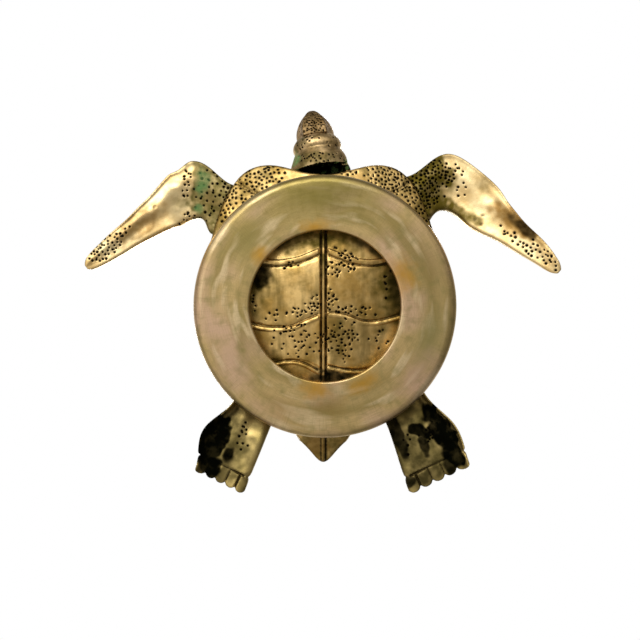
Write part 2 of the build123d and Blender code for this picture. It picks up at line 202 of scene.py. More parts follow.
def spread(edges: np.ndarray, values: np.ndarray, rounds: int) -> np.ndarray:
    """Blurs values over a mesh by averaging each vertex with its neighbours.

    Args:
        edges: Pairs of vertex numbers.
        values: One row for each vertex.
        rounds: How many times to average.

    Returns:
        The blurred values.
    """
    total = len(values)
    count = np.bincount(edges.ravel(), minlength=total)[:, None]
    for _ in range(rounds):
        near = np.stack([
            np.bincount(edges[:, 0], column[edges[:, 1]], total)
            + np.bincount(edges[:, 1], column[edges[:, 0]], total)
            for column in values.T
        ], axis=1)
        values = 0.5 * values + 0.5 * near / count
    return values


class Tint(Enum):
    """What has discoloured a patch of brass; the soot and tarnish patches also stand for painted shade in
    places.
    """

    TARNISH_AND_SHADE = "tarnish_and_shade"
    BRONZE = "bronze"
    SOOT_AND_SHADE = "soot_and_shade"
    VERDIGRIS = "verdigris"


@dataclass(frozen=True)
class Oval:
    """An oval of the plan, in millimetres, seen from above with the head towards -Y.

    Attributes:
        x: Its middle along X.
        y: Its middle along Y.
        half_x: Half its size along its own first axis.
        half_y: Half its size across that.
        turn: How far its first axis is turned from +X towards +Y, in degrees.
    """

    x: float
    y: float
    half_x: float
    half_y: float
    turn: float = 0.0

    def reach(self, points: np.ndarray) -> np.ndarray:
        """Measures how far out points lie in the oval.

        Args:
            points: The points in millimetres, one to a row.

        Returns:
            Each one's share of the way out: 0 in the middle and 1 on the edge.
        """
        out = points[:, :2] - (self.x, self.y)
        angle = radians(self.turn)
        first = out @ (cos(angle), sin(angle)) / self.half_x
        second = out @ (-sin(angle), cos(angle)) / self.half_y
        return np.hypot(first, second)


@dataclass(frozen=True)
class Stain:
    """A patch of one tint with a ragged edge.

    Attributes:
        tint: What has discoloured it, or the painted shade that it stands for.
        oval: Where it lies.
        strength: How strong it is in its middle.
        soft: How wide its fading edge is, as a share of the oval.
    """

    tint: Tint
    oval: Oval
    strength: float = 1.0
    soft: float = 0.75


@dataclass(frozen=True)
class Sprinkle:
    """A sprinkle of punched dots.

    Attributes:
        oval: Where they lie, denser in the middle.
        count: How many are punched on each face of the piece.
        gap: The least distance between two, in millimetres.
        twins: How many of them have run together with a second one, as a share.
        size: Their size, as a share of the usual one.
    """

    oval: Oval
    count: int
    gap: float = 1.4
    twins: float = 0.2
    size: float = 1.0


@dataclass(frozen=True)
class Dent:
    """A shallow dent, or a swelling where its depth is below zero.

    Attributes:
        oval: Where it lies.
        depth: Its depth in millimetres.
    """

    oval: Oval
    depth: float


@dataclass(frozen=True)
class Push:
    """A smooth push that moves a part of a piece sideways, to follow the photographed outline.

    Attributes:
        oval: Where it acts, most in the middle.
        by_x: How far the middle moves along X, in millimetres.
        by_y: How far it moves along Y.
    """

    oval: Oval
    by_x: float
    by_y: float


@dataclass(frozen=True)
class Punch:
    """The pointed punch that the dots are struck with. Its sizes are in millimetres.

    Attributes:
        depth: How deep it strikes.
        radii: The smallest and largest radius of a dot.
        twin_radii: The same, of a dot that has run together with its neighbour.
        twin_distance: How far apart the middles of such a pair lie.
        twin_slack: How far off that may be.
        shake: How far a dot strays from where it was aimed.
        facing: How squarely a face must look up or down to be struck, as a share of 1.
        edge: How far a dot's rounded edge reaches, as a share of its radius.
        steepness: How steeply its wall falls from that edge.
    """

    depth: float = 0.22
    radii: tuple[float, float] = (0.46, 0.74)
    twin_radii: tuple[float, float] = (0.42, 0.58)
    twin_distance: float = 0.9
    twin_slack: float = 0.3
    shake: float = 0.3
    facing: float = 0.2
    edge: float = 1.25
    steepness: float = 3.4


@dataclass(frozen=True)
class CastBrass:
    """Cast brass, polished by hand on its high places, with dark patina left in the low ones.

    It starts as bare metal of typical roughness at the default IOR. To the eye it is a warm, slightly
    rippled mirror on the high places and a dull olive to black film in the low ones.

    Attributes:
        name: The material's name.
        polished: Colour of the polished metal.
        warm: Colour of the warmer, duller metal between.
        tarnished: Colour of the tarnished film, and of the painted shade that shares its mask.
        gloss: Roughness of the polished metal.
        cloud_mm: Size of the clouds of warmer metal.
        grain_mm: Size of the casting's fine grain.
        haze: How far a thin olive haze dulls the polished metal in places.
        streak: How far soft streaks along the body dull it.
        streak_mm: Width of one streak.
        streak_stretch: What the pattern's measure from head to tail is multiplied by, which draws
            the streaks out.
        bronzed: Colour of metal that heat has browned.
        soiled: Colour of the low places.
        sooty: Colour of soot, and of the painted shade that shares its mask.
        punched: Colour inside the punched dots.
        green: Colour of verdigris.
        green_metal: How metallic verdigris is.
        film_dull: How much rougher the tarnished film is than the polished metal.
        crust_dull: How much rougher soot and painted shade, verdigris and the dots are.
        mottle_dull: How much rougher the metal is where it is mottled.
        ripple: Height of the hand-polished ripple, as a multiple of the fine grain's.
        relief: Strength of the fine relief.
        relief_mm: Height of the fine relief.
    """

    name: str
    polished: str = "E9D7A6"
    warm: str = "BFA266"
    tarnished: str = "6E6338"
    gloss: float = 0.3
    cloud_mm: float = 9.0
    grain_mm: float = 0.8
    haze: float = 0.3
    streak: float = 0.0
    streak_mm: float = 4.2
    streak_stretch: float = 0.14
    bronzed: str = "8E6C38"
    soiled: str = "2C2412"
    sooty: str = "0B0C06"
    punched: str = "0E0B06"
    green: str = "6E9658"
    green_metal: float = 0.25
    film_dull: float = 0.18
    crust_dull: float = 0.4
    mottle_dull: float = 0.16
    ripple: float = 7.0
    relief: float = 0.35
    relief_mm: float = 0.06

    def material(self) -> bpy.types.Material:
        """Builds the material. It reads the masks that each casting carries as attributes.

        Returns:
            The material.
        """
        brass = bpy.data.materials.new(self.name)
        brass.use_nodes = True
        tree = brass.node_tree
        shader = tree.nodes["Principled BSDF"]
        place = add_node(tree, "ShaderNodeTexCoord").outputs["Object"]
        masks = {
            name: add_node(tree, "ShaderNodeAttribute", {"attribute_name": name}).outputs["Fac"]
            for name in ("punched", "hollow", *(tint.value for tint in Tint))
        }
        drawn_out = add_node(tree, "ShaderNodeVectorMath", {"operation": "MULTIPLY"},
                             {0: place, 1: (1.0, self.streak_stretch, 1.0)}).outputs["Vector"]
        clouds, mottle, grain, streaks, ripple = (
            add_node(tree, "ShaderNodeTexNoise", inputs={
                "Vector": way, "Scale": 1 / (size_mm * MM), "Detail": detail}).outputs["Fac"]
            for way, size_mm, detail in (
                (place, self.cloud_mm, 3.0), (place, self.cloud_mm / 3, 3.0),
                (place, self.grain_mm, 2.0), (drawn_out, self.streak_mm, 3.0),
                (place, self.cloud_mm / 2.2, 1.0)))

        colour = linear(self.polished)
        for pattern, low, high, strength, tone in (
                (clouds, 0.38, 0.66, 1.0, self.warm),
                (mottle, 0.46, 0.72, self.haze, self.tarnished),
                (streaks, 0.46, 0.72, self.streak, self.tarnished)):
            colour = tinged(tree, colour, tone, pattern, (low, high), strength)
        # The film and soot masks carry real tarnish and soot, and in places painted shade: round the bore's
        # edge, at the flippers' shoulders and inside the neck's sleeve.
        film = broken(tree, masks["tarnish_and_shade"], mottle, 0.8, 1.1)
        browned = broken(tree, masks["bronze"], mottle, 0.8, 1.1)
        low_places = broken(tree, masks["hollow"], mottle, 0.75, 1.2)
        soot_and_shade = broken(tree, masks["soot_and_shade"], mottle, 0.9, 1.1)
        verdigris = broken(tree, masks["verdigris"], mottle, 0.4, 1.1)
        for cover, tone in ((film, self.tarnished), (browned, self.bronzed), (low_places, self.soiled),
                            (soot_and_shade, self.sooty), (masks["punched"], self.punched),
                            (verdigris, self.green)):
            colour = add_node(tree, "ShaderNodeMix", {"data_type": "RGBA"},
                              {0: cover, 6: colour, 7: linear(tone)}).outputs[2]

        # Soot, the painted shade in its mask, and the dots stay metal, near black, so that they don't turn
        # grey. Verdigris is a salt.
        metal = add_node(tree, "ShaderNodeMapRange", inputs={
            "Value": verdigris, "To Min": 1.0, "To Max": self.green_metal}).outputs[0]
        crust = add_node(tree, "ShaderNodeMath", {"operation": "MAXIMUM"}, {0: verdigris, 1: soot_and_shade})
        crust = add_node(tree, "ShaderNodeMath", {"operation": "MAXIMUM"},
                         {0: crust.outputs[0], 1: masks["punched"]})
        dull: Any = self.gloss
        for cover, gain in ((film, self.film_dull), (crust.outputs[0], self.crust_dull),
                            (mottle, self.mottle_dull)):
            dull = add_node(tree, "ShaderNodeMath", {"operation": "MULTIPLY_ADD", "use_clamp": True},
                            {0: cover, 1: gain, 2: dull}).outputs[0]
        height = add_node(tree, "ShaderNodeMath", {"operation": "MULTIPLY_ADD"},
                          {0: ripple, 1: self.ripple, 2: grain}).outputs[0]
        bump = add_node(tree, "ShaderNodeBump", inputs={
            "Strength": self.relief, "Distance": self.relief_mm * MM, "Height": height})
        for name, value in (("Base Color", colour), ("Metallic", metal), ("Roughness", dull),
                            ("Normal", bump.outputs[0])):
            tree.links.new(value, shader.inputs[name])
        return brass


@dataclass(frozen=True)
class Patch:
    """A patch of another tone on the ring, with a ragged edge.

    Attributes:
        clock: Its direction from the ring's axis, in degrees from +X towards +Y.
        radius: Its distance from the axis in millimetres.
        along: Half its length round the ring, in millimetres.
        across: Half its width in millimetres.
        strength: How strong it is in its middle.
        tone: Its colour.
    """

    clock: float
    radius: float
    along: float
    across: float
    strength: float
    tone: str

    def reach(self, tree: bpy.types.NodeTree, flat: bpy.types.NodeSocket) -> bpy.types.NodeSocket:
        """Measures how far out a point lies in the patch.

        Args:
            tree: The node tree.
            flat: The point in metres, laid flat.

        Returns:
            Its share of the way out: 0 in the middle and 1 on the edge.
        """
        clock = radians(self.clock)
        middle = Vector((self.radius * cos(clock), self.radius * sin(clock), 0)) * MM
        spot = add_node(tree, "ShaderNodeMapping", {"vector_type": "TEXTURE"}, {
            "Vector": flat, "Location": middle, "Rotation": (0, 0, clock),
            "Scale": (self.across * MM, self.along * MM, 1)})
        return add_node(tree, "ShaderNodeVectorMath", {"operation": "LENGTH"},
                        {0: spot.outputs[0]}).outputs["Value"]


@dataclass(frozen=True)
class TurnedBrass:
    """Brass turned on a lathe and sanded round by hand, stained amber where the torch heated it.

    It starts as bare metal at the default IOR. To the eye it is a pale satin, drawn out round the ring in
    soft bands of olive and rose, with the arcs that a sanding pad leaves: their relief is real, and their
    pale colour is a painted sheen. Real sanding marks are finer than a pixel, so they are drawn coarse
    enough to show.

    Attributes:
        name: The material's name.
        base: Colour of the bare metal.
        gloss: Roughness between the sanding marks.
        stroke_mm: Width of the sanding marks.
        stroke_dull: How much rougher the metal is in a sanding mark.
        scratch_mm: Width of the scratches across them.
        cloud_mm: Size of the broad clouds of rose and olive.
        mottle_mm: Size of the small ones.
        warp_mm: How far the bands and arcs stray from a true circle.
        ragged: How far the mottling moves a patch's edge, as a share of the patch.
        arc_height: Height of the arcs, as a multiple of the marks'.
        relief: Strength of the fine relief.
        relief_mm: Height of the fine relief.
        patches: Places that have another tone. The amber ones are heat stains.
    """

    name: str = "turned_sanded_brass"
    base: str = "C6AC78"
    gloss: float = 0.27
    stroke_mm: float = 0.55
    stroke_dull: float = 0.22
    scratch_mm: float = 9.0
    cloud_mm: float = 26.0
    mottle_mm: float = 5.0
    warp_mm: float = 7.0
    ragged: float = 1.1
    arc_height: float = 7.0
    relief: float = 0.35
    relief_mm: float = 0.05
    patches: tuple[Patch, ...] = (
        Patch(-92, 55.0, 42, 16.0, 0.95, "7A6F38"), Patch(-140, 50.0, 16, 9.0, 0.7, "857B46"),
        Patch(88, 50.0, 12, 7.0, 0.7, "8A7440"), Patch(18, 55.0, 20, 9.0, 0.65, "858050"),
        Patch(152, 54.0, 26, 9.0, 0.55, "CBA996"), Patch(38, 57.0, 18, 8.0, 0.5, "BE9C88"),
        Patch(112, 56.0, 18, 8.0, 0.5, "A88C60"), Patch(-20, 57.0, 14, 8.0, 0.5, "9A8458"),
        Patch(-97, 40.0, 9, 4.5, 0.8, "B98A2C"), Patch(-22, 42.0, 12, 8.0, 0.8, "B98A2C"),
        Patch(97, 41.5, 9, 7.0, 0.8, "B98A2C"), Patch(-142, 41.0, 6, 5.0, 0.8, "B98A2C"),
        Patch(64, 43.0, 12, 5.0, 0.8, "B98A2C"),
    )

    def material(self) -> bpy.types.Material:
        """Builds the material from patterns that run round the ring's axis.

        Returns:
            The material.
        """
        brass = bpy.data.materials.new(self.name)
        brass.use_nodes = True
        tree = brass.node_tree
        shader = tree.nodes["Principled BSDF"]
        place = add_node(tree, "ShaderNodeTexCoord").outputs["Object"]
        axes = add_node(tree, "ShaderNodeSeparateXYZ", inputs={0: place})
        flat = add_node(tree, "ShaderNodeCombineXYZ", inputs={
            "X": axes.outputs["X"], "Y": axes.outputs["Y"]}).outputs[0]
        radius = add_node(tree, "ShaderNodeVectorMath", {"operation": "LENGTH"},
                          {0: flat}).outputs["Value"]
        heading = add_node(tree, "ShaderNodeVectorMath", {"operation": "NORMALIZE"},
                           {0: flat}).outputs["Vector"]
        clouds, mottle = (
            add_node(tree, "ShaderNodeTexNoise", inputs={
                "Vector": place, "Scale": 1 / (size_mm * MM), "Detail": detail}).outputs["Fac"]
            for size_mm, detail in ((self.cloud_mm, 1.0), (self.mottle_mm, 4.0)))
        wavy = add_node(tree, "ShaderNodeMath", {"operation": "MULTIPLY_ADD"},
                        {0: clouds, 1: self.warp_mm * MM, 2: radius}).outputs[0]
        strokes = self.round_marks(tree, heading, radius, 14.0, self.stroke_mm)
        scratches = self.round_marks(tree, heading, radius, 170.0, self.scratch_mm)
        bands = self.round_marks(tree, heading, wavy, 0.9, 10.0, 1.0)
        arcs = self.round_marks(tree, heading, wavy, 2.2, 5.0, 1.5)

        colour: Any = linear(self.base)
        # The pale arcs (E2CBA2) are a painted sheen where the sanding marks catch the light; their relief
        # in the bump below is real.
        for pattern, low, high, strength, tone in (
                (clouds, 0.44, 0.62, 0.9, "D2B292"), (bands, 0.42, 0.66, 0.8, "93824C"),
                (arcs, 0.54, 0.68, 0.75, "E2CBA2"), (mottle, 0.48, 0.74, 0.55, "8A8250"),
                (strokes, 0.4, 0.7, 0.26, "6F6240"), (scratches, 0.54, 0.74, 0.32, "7A6E48")):
            colour = tinged(tree, colour, tone, pattern, (low, high), strength)
        for patch in self.patches:
            ragged = add_node(tree, "ShaderNodeMath", {"operation": "MULTIPLY_ADD"},
                              {0: mottle, 1: self.ragged, 2: patch.reach(tree, flat)}).outputs[0]
            share = add_node(tree, "ShaderNodeMapRange", {"interpolation_type": "SMOOTHSTEP"}, {
                "Value": ragged, "From Min": 0.45, "From Max": 1.8, "To Min": patch.strength,
                "To Max": 0.0}).outputs[0]
            colour = add_node(tree, "ShaderNodeMix", {"data_type": "RGBA"},
                              {0: share, 6: colour, 7: linear(patch.tone)}).outputs[2]

        dull = add_node(tree, "ShaderNodeMath", {"operation": "MULTIPLY_ADD"},
                        {0: strokes, 1: self.stroke_dull, 2: self.gloss}).outputs[0]
        fine = add_node(tree, "ShaderNodeMath", {"operation": "ADD"}, {0: scratches, 1: strokes})
        height = add_node(tree, "ShaderNodeMath", {"operation": "MULTIPLY_ADD"},
                          {0: arcs, 1: self.arc_height, 2: fine.outputs[0]}).outputs[0]
        bump = add_node(tree, "ShaderNodeBump", inputs={
            "Strength": self.relief, "Distance": self.relief_mm * MM, "Height": height})
        shader.inputs["Metallic"].default_value = 1.0
        for name, value in (("Base Color", colour), ("Roughness", dull), ("Normal", bump.outputs[0])):
            tree.links.new(value, shader.inputs[name])
        return brass

    @staticmethod
    def round_marks(tree: bpy.types.NodeTree, heading: bpy.types.NodeSocket,
                    radius: bpy.types.NodeSocket, turns: float, width_mm: float,
                    detail: float = 3.0) -> bpy.types.NodeSocket:
        """Makes marks that run round the ring's axis, with no start or end.

        Args:
            tree: The node tree.
            heading: The unit direction from the axis.
            radius: The distance from the axis in metres.
            turns: How often the marks change on their way round.
            width_mm: The width of one mark.
            detail: How many finer layers they have.

        Returns:
            The marks' value.
        """
        rows = add_node(tree, "ShaderNodeMath", {"operation": "DIVIDE"},
                        {0: radius, 1: width_mm * MM}).outputs[0]
        round_way = add_node(tree, "ShaderNodeVectorMath", {"operation": "SCALE"},
                             {0: heading, "Scale": turns}).outputs["Vector"]
        up = add_node(tree, "ShaderNodeCombineXYZ", inputs={"Z": rows}).outputs[0]
        both = add_node(tree, "ShaderNodeVectorMath", {"operation": "ADD"},
                        {0: round_way, 1: up}).outputs["Vector"]
        return add_node(tree, "ShaderNodeTexNoise", inputs={
            "Vector": both, "Scale": 1.0, "Detail": detail}).outputs["Fac"]


@dataclass
class Casting:
    """One cast piece: a fine copy of its solid, softened, dented, punched and stained.

    Attributes:
        node: The solid that it stands for.
        slot: The record's material slot. Not used.
        finish: Its brass.
        voxel: Spacing of its mesh in millimetres.
        seed: Seed for its punched dots.
        relax_rounds: How often its edges are softened.
        sprinkles: Where it is punched.
        stains: Where it is stained.
        dents: Where it is dented.
        pushes: Where its outline is pushed sideways.
        worn: Where its edges are worn smooth.
        soiling: How dark its low places are.
        hollow_mm: The depth below its surroundings at which a low place is at its darkest.
        hidden_side: The side that other pieces hide: 1 for the upper, -1 for the lower, 0 for none.
        relax_return: How much of each softening is given back, so that the form doesn't shrink.
        worn_rounds: How often a worn place is averaged.
        wide_rounds: How often the form is averaged to find what is low beside its surroundings.
        least_hollow: The depth in millimetres below which nothing counts as low.
        lumps: The clouds that make a stain's edge ragged: the size of each in millimetres and how
            far it moves the edge, as a share of the stain.
        punch: The punch that strikes its dots.
    """

    node: str
    slot: str
    finish: CastBrass
    voxel: float
    seed: int
    relax_rounds: int = 6
    sprinkles: tuple[Sprinkle, ...] = ()
    stains: tuple[Stain, ...] = ()
    dents: tuple[Dent, ...] = ()
    pushes: tuple[Push, ...] = ()
    worn: tuple[Oval, ...] = ()
    soiling: float = 1.0
    hollow_mm: float = 0.22
    hidden_side: int = 0
    relax_return: float = 1.04
    worn_rounds: int = 50
    wide_rounds: int = 14
    least_hollow: float = 0.03
    lumps: tuple[tuple[float, float], ...] = ((10.0, 0.3), (3.4, 0.34))
    punch: Punch = Punch()

    def build(self) -> bpy.types.Object:
        """Makes the piece, dresses it and puts it in its solid's place.

        Returns:
            The finished piece.
        """
        mesh = self.remeshed()
        self.form(mesh)
        spots = self.choose_spots(mesh)
        self.refine(mesh, spots)
        punched = self.strike(mesh, spots)
        self.paint(mesh, punched)
        mesh = self.thinned(mesh)
        piece = bpy.data.objects.new(f"{self.node}_cast", mesh)
        bpy.context.scene.collection.objects.link(piece)
        piece.vertex_groups.clear()
        mesh.materials.clear()
        mesh.materials.append(self.finish.material())
        mesh.shade_smooth()
        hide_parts(self.node)
        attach(piece, "root")
        LOG.info("%s: %d faces, %d dots", piece.name, len(mesh.polygons), len(spots))
        return piece

    def remeshed(self) -> bpy.types.Mesh:
        """Lays an even fine mesh over the solid's own form.

        Returns:
            The mesh, in metres.
        """
        form = bmesh.new()
        form.from_mesh(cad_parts[self.node].data)
        bmesh.ops.remove_doubles(form, verts=form.verts, dist=SOLID_MERGE * MM)
        merged = bpy.data.meshes.new(f"{self.node}_merged")
        form.to_mesh(merged)
        form.free()
        return self.worked(merged, "REMESH", {"mode": "VOXEL", "voxel_size": self.voxel * MM})

    def thinned(self, mesh: bpy.types.Mesh) -> bpy.types.Mesh:
        """Thins the hidden faces of a mesh that has too many, and leaves the rest as it is.

        Args:
            mesh: The finished mesh.

        Returns:
            The mesh, or a thinner one in its place.
        """
        mesh.calc_loop_triangles()
        total = len(mesh.loop_triangles)
        if total < MOST_TRIANGLES:
            return mesh
        points, normals, _ = self.arrays(mesh)
        return self.worked(mesh, "DECIMATE", {"ratio": MOST_TRIANGLES / total},
                           np.flatnonzero(self.hidden(points, normals)))

    def hidden(self, points: np.ndarray, normals: np.ndarray) -> np.ndarray:
        """Finds the points that other pieces hide.

        Args:
            points: The mesh's points in millimetres. Not used here.
            normals: Their unit normals.

        Returns:
            True for each hidden point.
        """
        del points
        return normals[:, 2] * self.hidden_side > HIDDEN_FACING

    @staticmethod
    def worked(mesh: bpy.types.Mesh, kind: str, settings: dict[str, Any],
               only: np.ndarray | None = None) -> bpy.types.Mesh:
        """Puts a mesh through a modifier.

        Args:
            mesh: The mesh, which is used up.
            kind: The modifier's Blender type.
            settings: Attributes of the modifier, by name.
            only: Numbers of the vertices that it may change, or None for all.

        Returns:
            The new mesh.
        """
        holder = bpy.data.objects.new(mesh.name, mesh)
        bpy.context.scene.collection.objects.link(holder)
        modifier = holder.modifiers.new("work", kind)
        for name, value in settings.items():
            setattr(modifier, name, value)
        if only is not None:
            group = holder.vertex_groups.new(name="only")
            group.add(only.tolist(), 1.0, "REPLACE")
            modifier.vertex_group = group.name
        graph = bpy.context.evaluated_depsgraph_get()
        new_mesh = bpy.data.meshes.new_from_object(holder.evaluated_get(graph))
        bpy.data.objects.remove(holder)
        bpy.data.meshes.remove(mesh)
        return new_mesh

    @staticmethod
    def split(mesh: bpy.types.Mesh, near: np.ndarray) -> None:
        """Splits the faces between chosen vertices, so that small forms come out smooth.

        Args:
            mesh: The mesh.
            near: True for each chosen vertex.
        """
        form = bmesh.new()
        form.from_mesh(mesh)
        form.verts.ensure_lookup_table()
        edges = [edge for edge in form.edges if all(near[vertex.index] for vertex in edge.verts)]
        bmesh.ops.subdivide_edges(form, edges=edges, cuts=1, use_grid_fill=True)
        form.to_mesh(mesh)
        form.free()

    @staticmethod
    def arrays(mesh: bpy.types.Mesh) -> tuple[np.ndarray, np.ndarray, np.ndarray]:
        """Reads a mesh.

        Args:
            mesh: The mesh.

        Returns:
            Its points in millimetres, its unit normals and its edges.
        """
        total = len(mesh.vertices)
        points = np.empty(total * 3)
        mesh.vertices.foreach_get("co", points)
        normals = np.empty(total * 3, np.float32)
        mesh.vertex_normals.foreach_get("vector", normals)
        edges = np.empty(len(mesh.edges) * 2, np.int64)
        mesh.edges.foreach_get("vertices", edges)
        return points.reshape(-1, 3) / MM, normals.reshape(-1, 3).astype(float), edges.reshape(-1, 2)

    @staticmethod
    def write(mesh: bpy.types.Mesh, points: np.ndarray) -> None:
        """Moves a mesh's vertices to points in millimetres."""
        mesh.vertices.foreach_set("co", (points * MM).ravel())
        mesh.update()

    def form(self, mesh: bpy.types.Mesh) -> None:
        """Softens the edges as casting and polishing do, moves the outline and presses in the dents.

        Args:
            mesh: The even mesh of the solid.
        """
        points, _, edges = self.arrays(mesh)
        for _ in range(self.relax_rounds):
            points = spread(edges, points, 1)
            points = points + self.relax_return * (points - spread(edges, points, 1))
        if self.worn:
            share = np.max([1 - smooth_step(oval.reach(points), 0.5, 1.0) for oval in self.worn], axis=0)
            points += share[:, None] * (spread(edges, points, self.worn_rounds) - points)
        for push in self.pushes:
            share = 1 - smooth_step(push.oval.reach(points), 0.0, 1.0)
            points[:, :2] += share[:, None] * (push.by_x, push.by_y)
        self.write(mesh, points)
        points, normals, edges = self.arrays(mesh)
        move = np.zeros(len(points))
        for dent in self.dents:
            move -= dent.depth * (1 - smooth_step(dent.oval.reach(points), 0.0, 1.0))
        under = smooth_step(-normals[:, 2], 0.0, 0.4)
        self.write(mesh, points + normals * (move * under)[:, None])

    def choose_spots(self, mesh: bpy.types.Mesh) -> list[tuple[Vector, float]]:
        """Picks the punched dots, denser in the middle of each sprinkle and never closer than its gap.

        Args:
            mesh: The mesh to punch.

        Returns:
            Each dot's middle in millimetres and its radius.
        """
        punch = self.punch
        points, normals, _ = self.arrays(mesh)
        dice = np.random.default_rng(self.seed)
        spots: list[tuple[Vector, float]] = []
        for sprinkle in self.sprinkles:
            reach = sprinkle.oval.reach(points)
            for side in (-1, 1):
                near = np.flatnonzero((reach < 1) & (normals[:, 2] * side > punch.facing))
                taken = 0
                for place in dice.permutation(near):
                    if taken == sprinkle.count:
                        break
                    if dice.random() < reach[place] ** 2:
                        continue
                    middle = Vector(points[place])
                    middle += Vector((*dice.uniform(-punch.shake, punch.shake, 2), 0))
                    if any((middle - other).length <= sprinkle.gap for other, _ in spots):
                        continue
                    spots.append((middle, sprinkle.size * dice.uniform(*punch.radii)))
                    taken += 1
                    if dice.random() < sprinkle.twins:
                        away = np.linalg.norm(points[near] - points[place], axis=1)
                        off = np.abs(away - punch.twin_distance * sprinkle.size)
                        beside = near[off < punch.twin_slack]
                        if len(beside):
                            twin = Vector(points[dice.choice(beside)])
                            spots.append((twin, sprinkle.size * dice.uniform(*punch.twin_radii)))
        return spots

    def refine(self, mesh: bpy.types.Mesh, spots: list[tuple[Vector, float]]) -> None:
        """Splits the faces round each dot, so that it comes out round.

        Args:
            mesh: The mesh.
            spots: Each dot's middle and radius in millimetres.
        """
        if not spots:
            return
        tree = KDTree(len(mesh.vertices))
        for vertex in mesh.vertices:
            tree.insert(vertex.co / MM, vertex.index)
        tree.balance()
        near = np.zeros(len(mesh.vertices), bool)
        for middle, radius in spots:
            for _, place, _ in tree.find_range(middle, radius + 0.8 * self.voxel):
                near[place] = True
        self.split(mesh, near)

    def strike(self, mesh: bpy.types.Mesh, spots: list[tuple[Vector, float]]) -> np.ndarray:
        """Presses the dots in.

        Args:
            mesh: The mesh to punch.
            spots: Each dot's middle and radius in millimetres.

        Returns:
            How deep each vertex is in a dot, from 0 to 1.
        """
        points, normals, _ = self.arrays(mesh)
        depth = np.zeros(len(points))
        tree = KDTree(len(points))
        for place, point in enumerate(points):
            tree.insert(point, place)
        tree.balance()
        for middle, radius in spots:
            edge = radius * self.punch.edge
            for _, place, distance in tree.find_range(middle, edge):
                depth[place] = max(depth[place], min(1.0, self.punch.steepness * (1 - distance / edge)))
        self.write(mesh, points - normals * (self.punch.depth * depth)[:, None])
        return depth

    def paint(self, mesh: bpy.types.Mesh, punched: np.ndarray) -> None:
        """Stores the masks that the finish reads: the dots, the low places and each tint.

        Args:
            mesh: The mesh.
            punched: How deep each vertex is in a dot, from 0 to 1.
        """
        points, normals, edges = self.arrays(mesh)
        wide = spread(edges, points, self.wide_rounds)
        low = np.einsum("ij,ij->i", wide - points, normals)
        low = spread(edges, low[:, None], 2)[:, 0]
        masks = {"punched": punched,
                 "hollow": self.soiling * smooth_step(low, self.least_hollow, self.hollow_mm)}
        ragged = sum(share * cloud(points, grain, self.seed + 9 * number)
                     for number, (grain, share) in enumerate(self.lumps))
        for tint in Tint:
            cover = np.zeros(len(points))
            for stain in self.stains:
                if stain.tint is tint:
                    reach = stain.oval.reach(points) + ragged
                    edge = smooth_step(reach, STAIN_END - stain.soft, STAIN_END)
                    cover = np.maximum(cover, stain.strength * (1 - edge))
            masks[tint.value] = cover
        self.touch_up(masks, points, normals)
        for name, values in masks.items():
            layer = mesh.attributes.new(name, "FLOAT", "POINT")
            layer.data.foreach_set("value", values.astype(np.float32))

    def touch_up(self, masks: dict[str, np.ndarray], points: np.ndarray, normals: np.ndarray) -> None:
        """Changes the masks in a way that only one piece has. A plain casting changes nothing.

        Args:
            masks: The masks by name.
            points: The mesh's points in millimetres.
            normals: Their unit normals.
        """


@dataclass(frozen=True)
class Seam:
    """A seam of the belly plate: a fine line, and along one side of it a raised and polished strip.

    Attributes:
        course: Points that it runs through in plan, in millimetres.
        side: The side of the line that the strip lies on: 1 towards the tail, -1 towards the head,
            or 0 for a seam that is filled flush.
        lift: The strip's height in millimetres.
        width: The strip's width in millimetres.
        half_line: Half the width of the line, in millimetres.
        flush_width: Half the width of a filled seam, in millimetres.
        steps: How many short steps each part of the course is drawn in.
    """

    course: tuple[tuple[float, float], ...]
    side: int
    lift: float = 0.5
    width: float = 2.6
    half_line: float = 0.42
    flush_width: float = 1.7
    steps: int = 40

    def drawn(self) -> list[Vector]:
        """Draws a smooth curve through the course.

        Returns:
            Close points along it in plan.
        """
        knots = [2 * Vector(self.course[0]) - Vector(self.course[1]), *map(Vector, self.course),
                 2 * Vector(self.course[-1]) - Vector(self.course[-2])]
        return [0.5 * (2 * first + (second - before) * t
                       + (2 * before - 5 * first + 4 * second - after) * t**2
                       + (3 * first - before - 3 * second + after) * t**3)
                for before, first, second, after in zip(knots, knots[1:], knots[2:], knots[3:])
                for t in np.linspace(0, 1, self.steps, endpoint=False)]

    def offset(self, points: np.ndarray) -> np.ndarray:
        """Measures how far points lie from the seam.

        Args:
            points: The points in millimetres, one to a row.

        Returns:
            Each one's distance, above zero on the strip's side, and large for points well beyond it.
        """
        curve = self.drawn()
        tree = KDTree(len(curve))
        for place, knot in enumerate(curve):
            tree.insert((*knot, 0), place)
        tree.balance()
        offset = np.full(len(points), FAR_OFFSET)
        ends = sorted((curve[0].x, curve[-1].x))
        near = (points[:, 0] > ends[0] - SEAM_MARGIN) & (points[:, 0] < ends[1] + SEAM_MARGIN)
        for index in np.flatnonzero(near & (points[:, 2] < UNDERSIDE_TOP)):
            x, y = points[index, :2]
            nearest, _, distance = tree.find((x, y, 0))
            offset[index] = distance if (y > nearest.y) == (self.side >= 0) else -distance
        return offset

    def strip(self, offset: np.ndarray) -> np.ndarray:
        """Gives the strip's cross-section.

        Args:
            offset: How far each point lies from the seam.

        Returns:
            From 0 beside the strip to 1 on it.
        """
        if not self.side:
            return np.zeros(len(offset))
        return smooth_step(offset, 0.3, 0.9) * (1 - smooth_step(offset, self.width, self.width + 1.0))

    def line(self, offset: np.ndarray) -> np.ndarray:
        """The fine line's cross-section, from 0 beside it to 1 in it."""
        return np.exp(-(offset / self.half_line) ** 2) * abs(self.side)


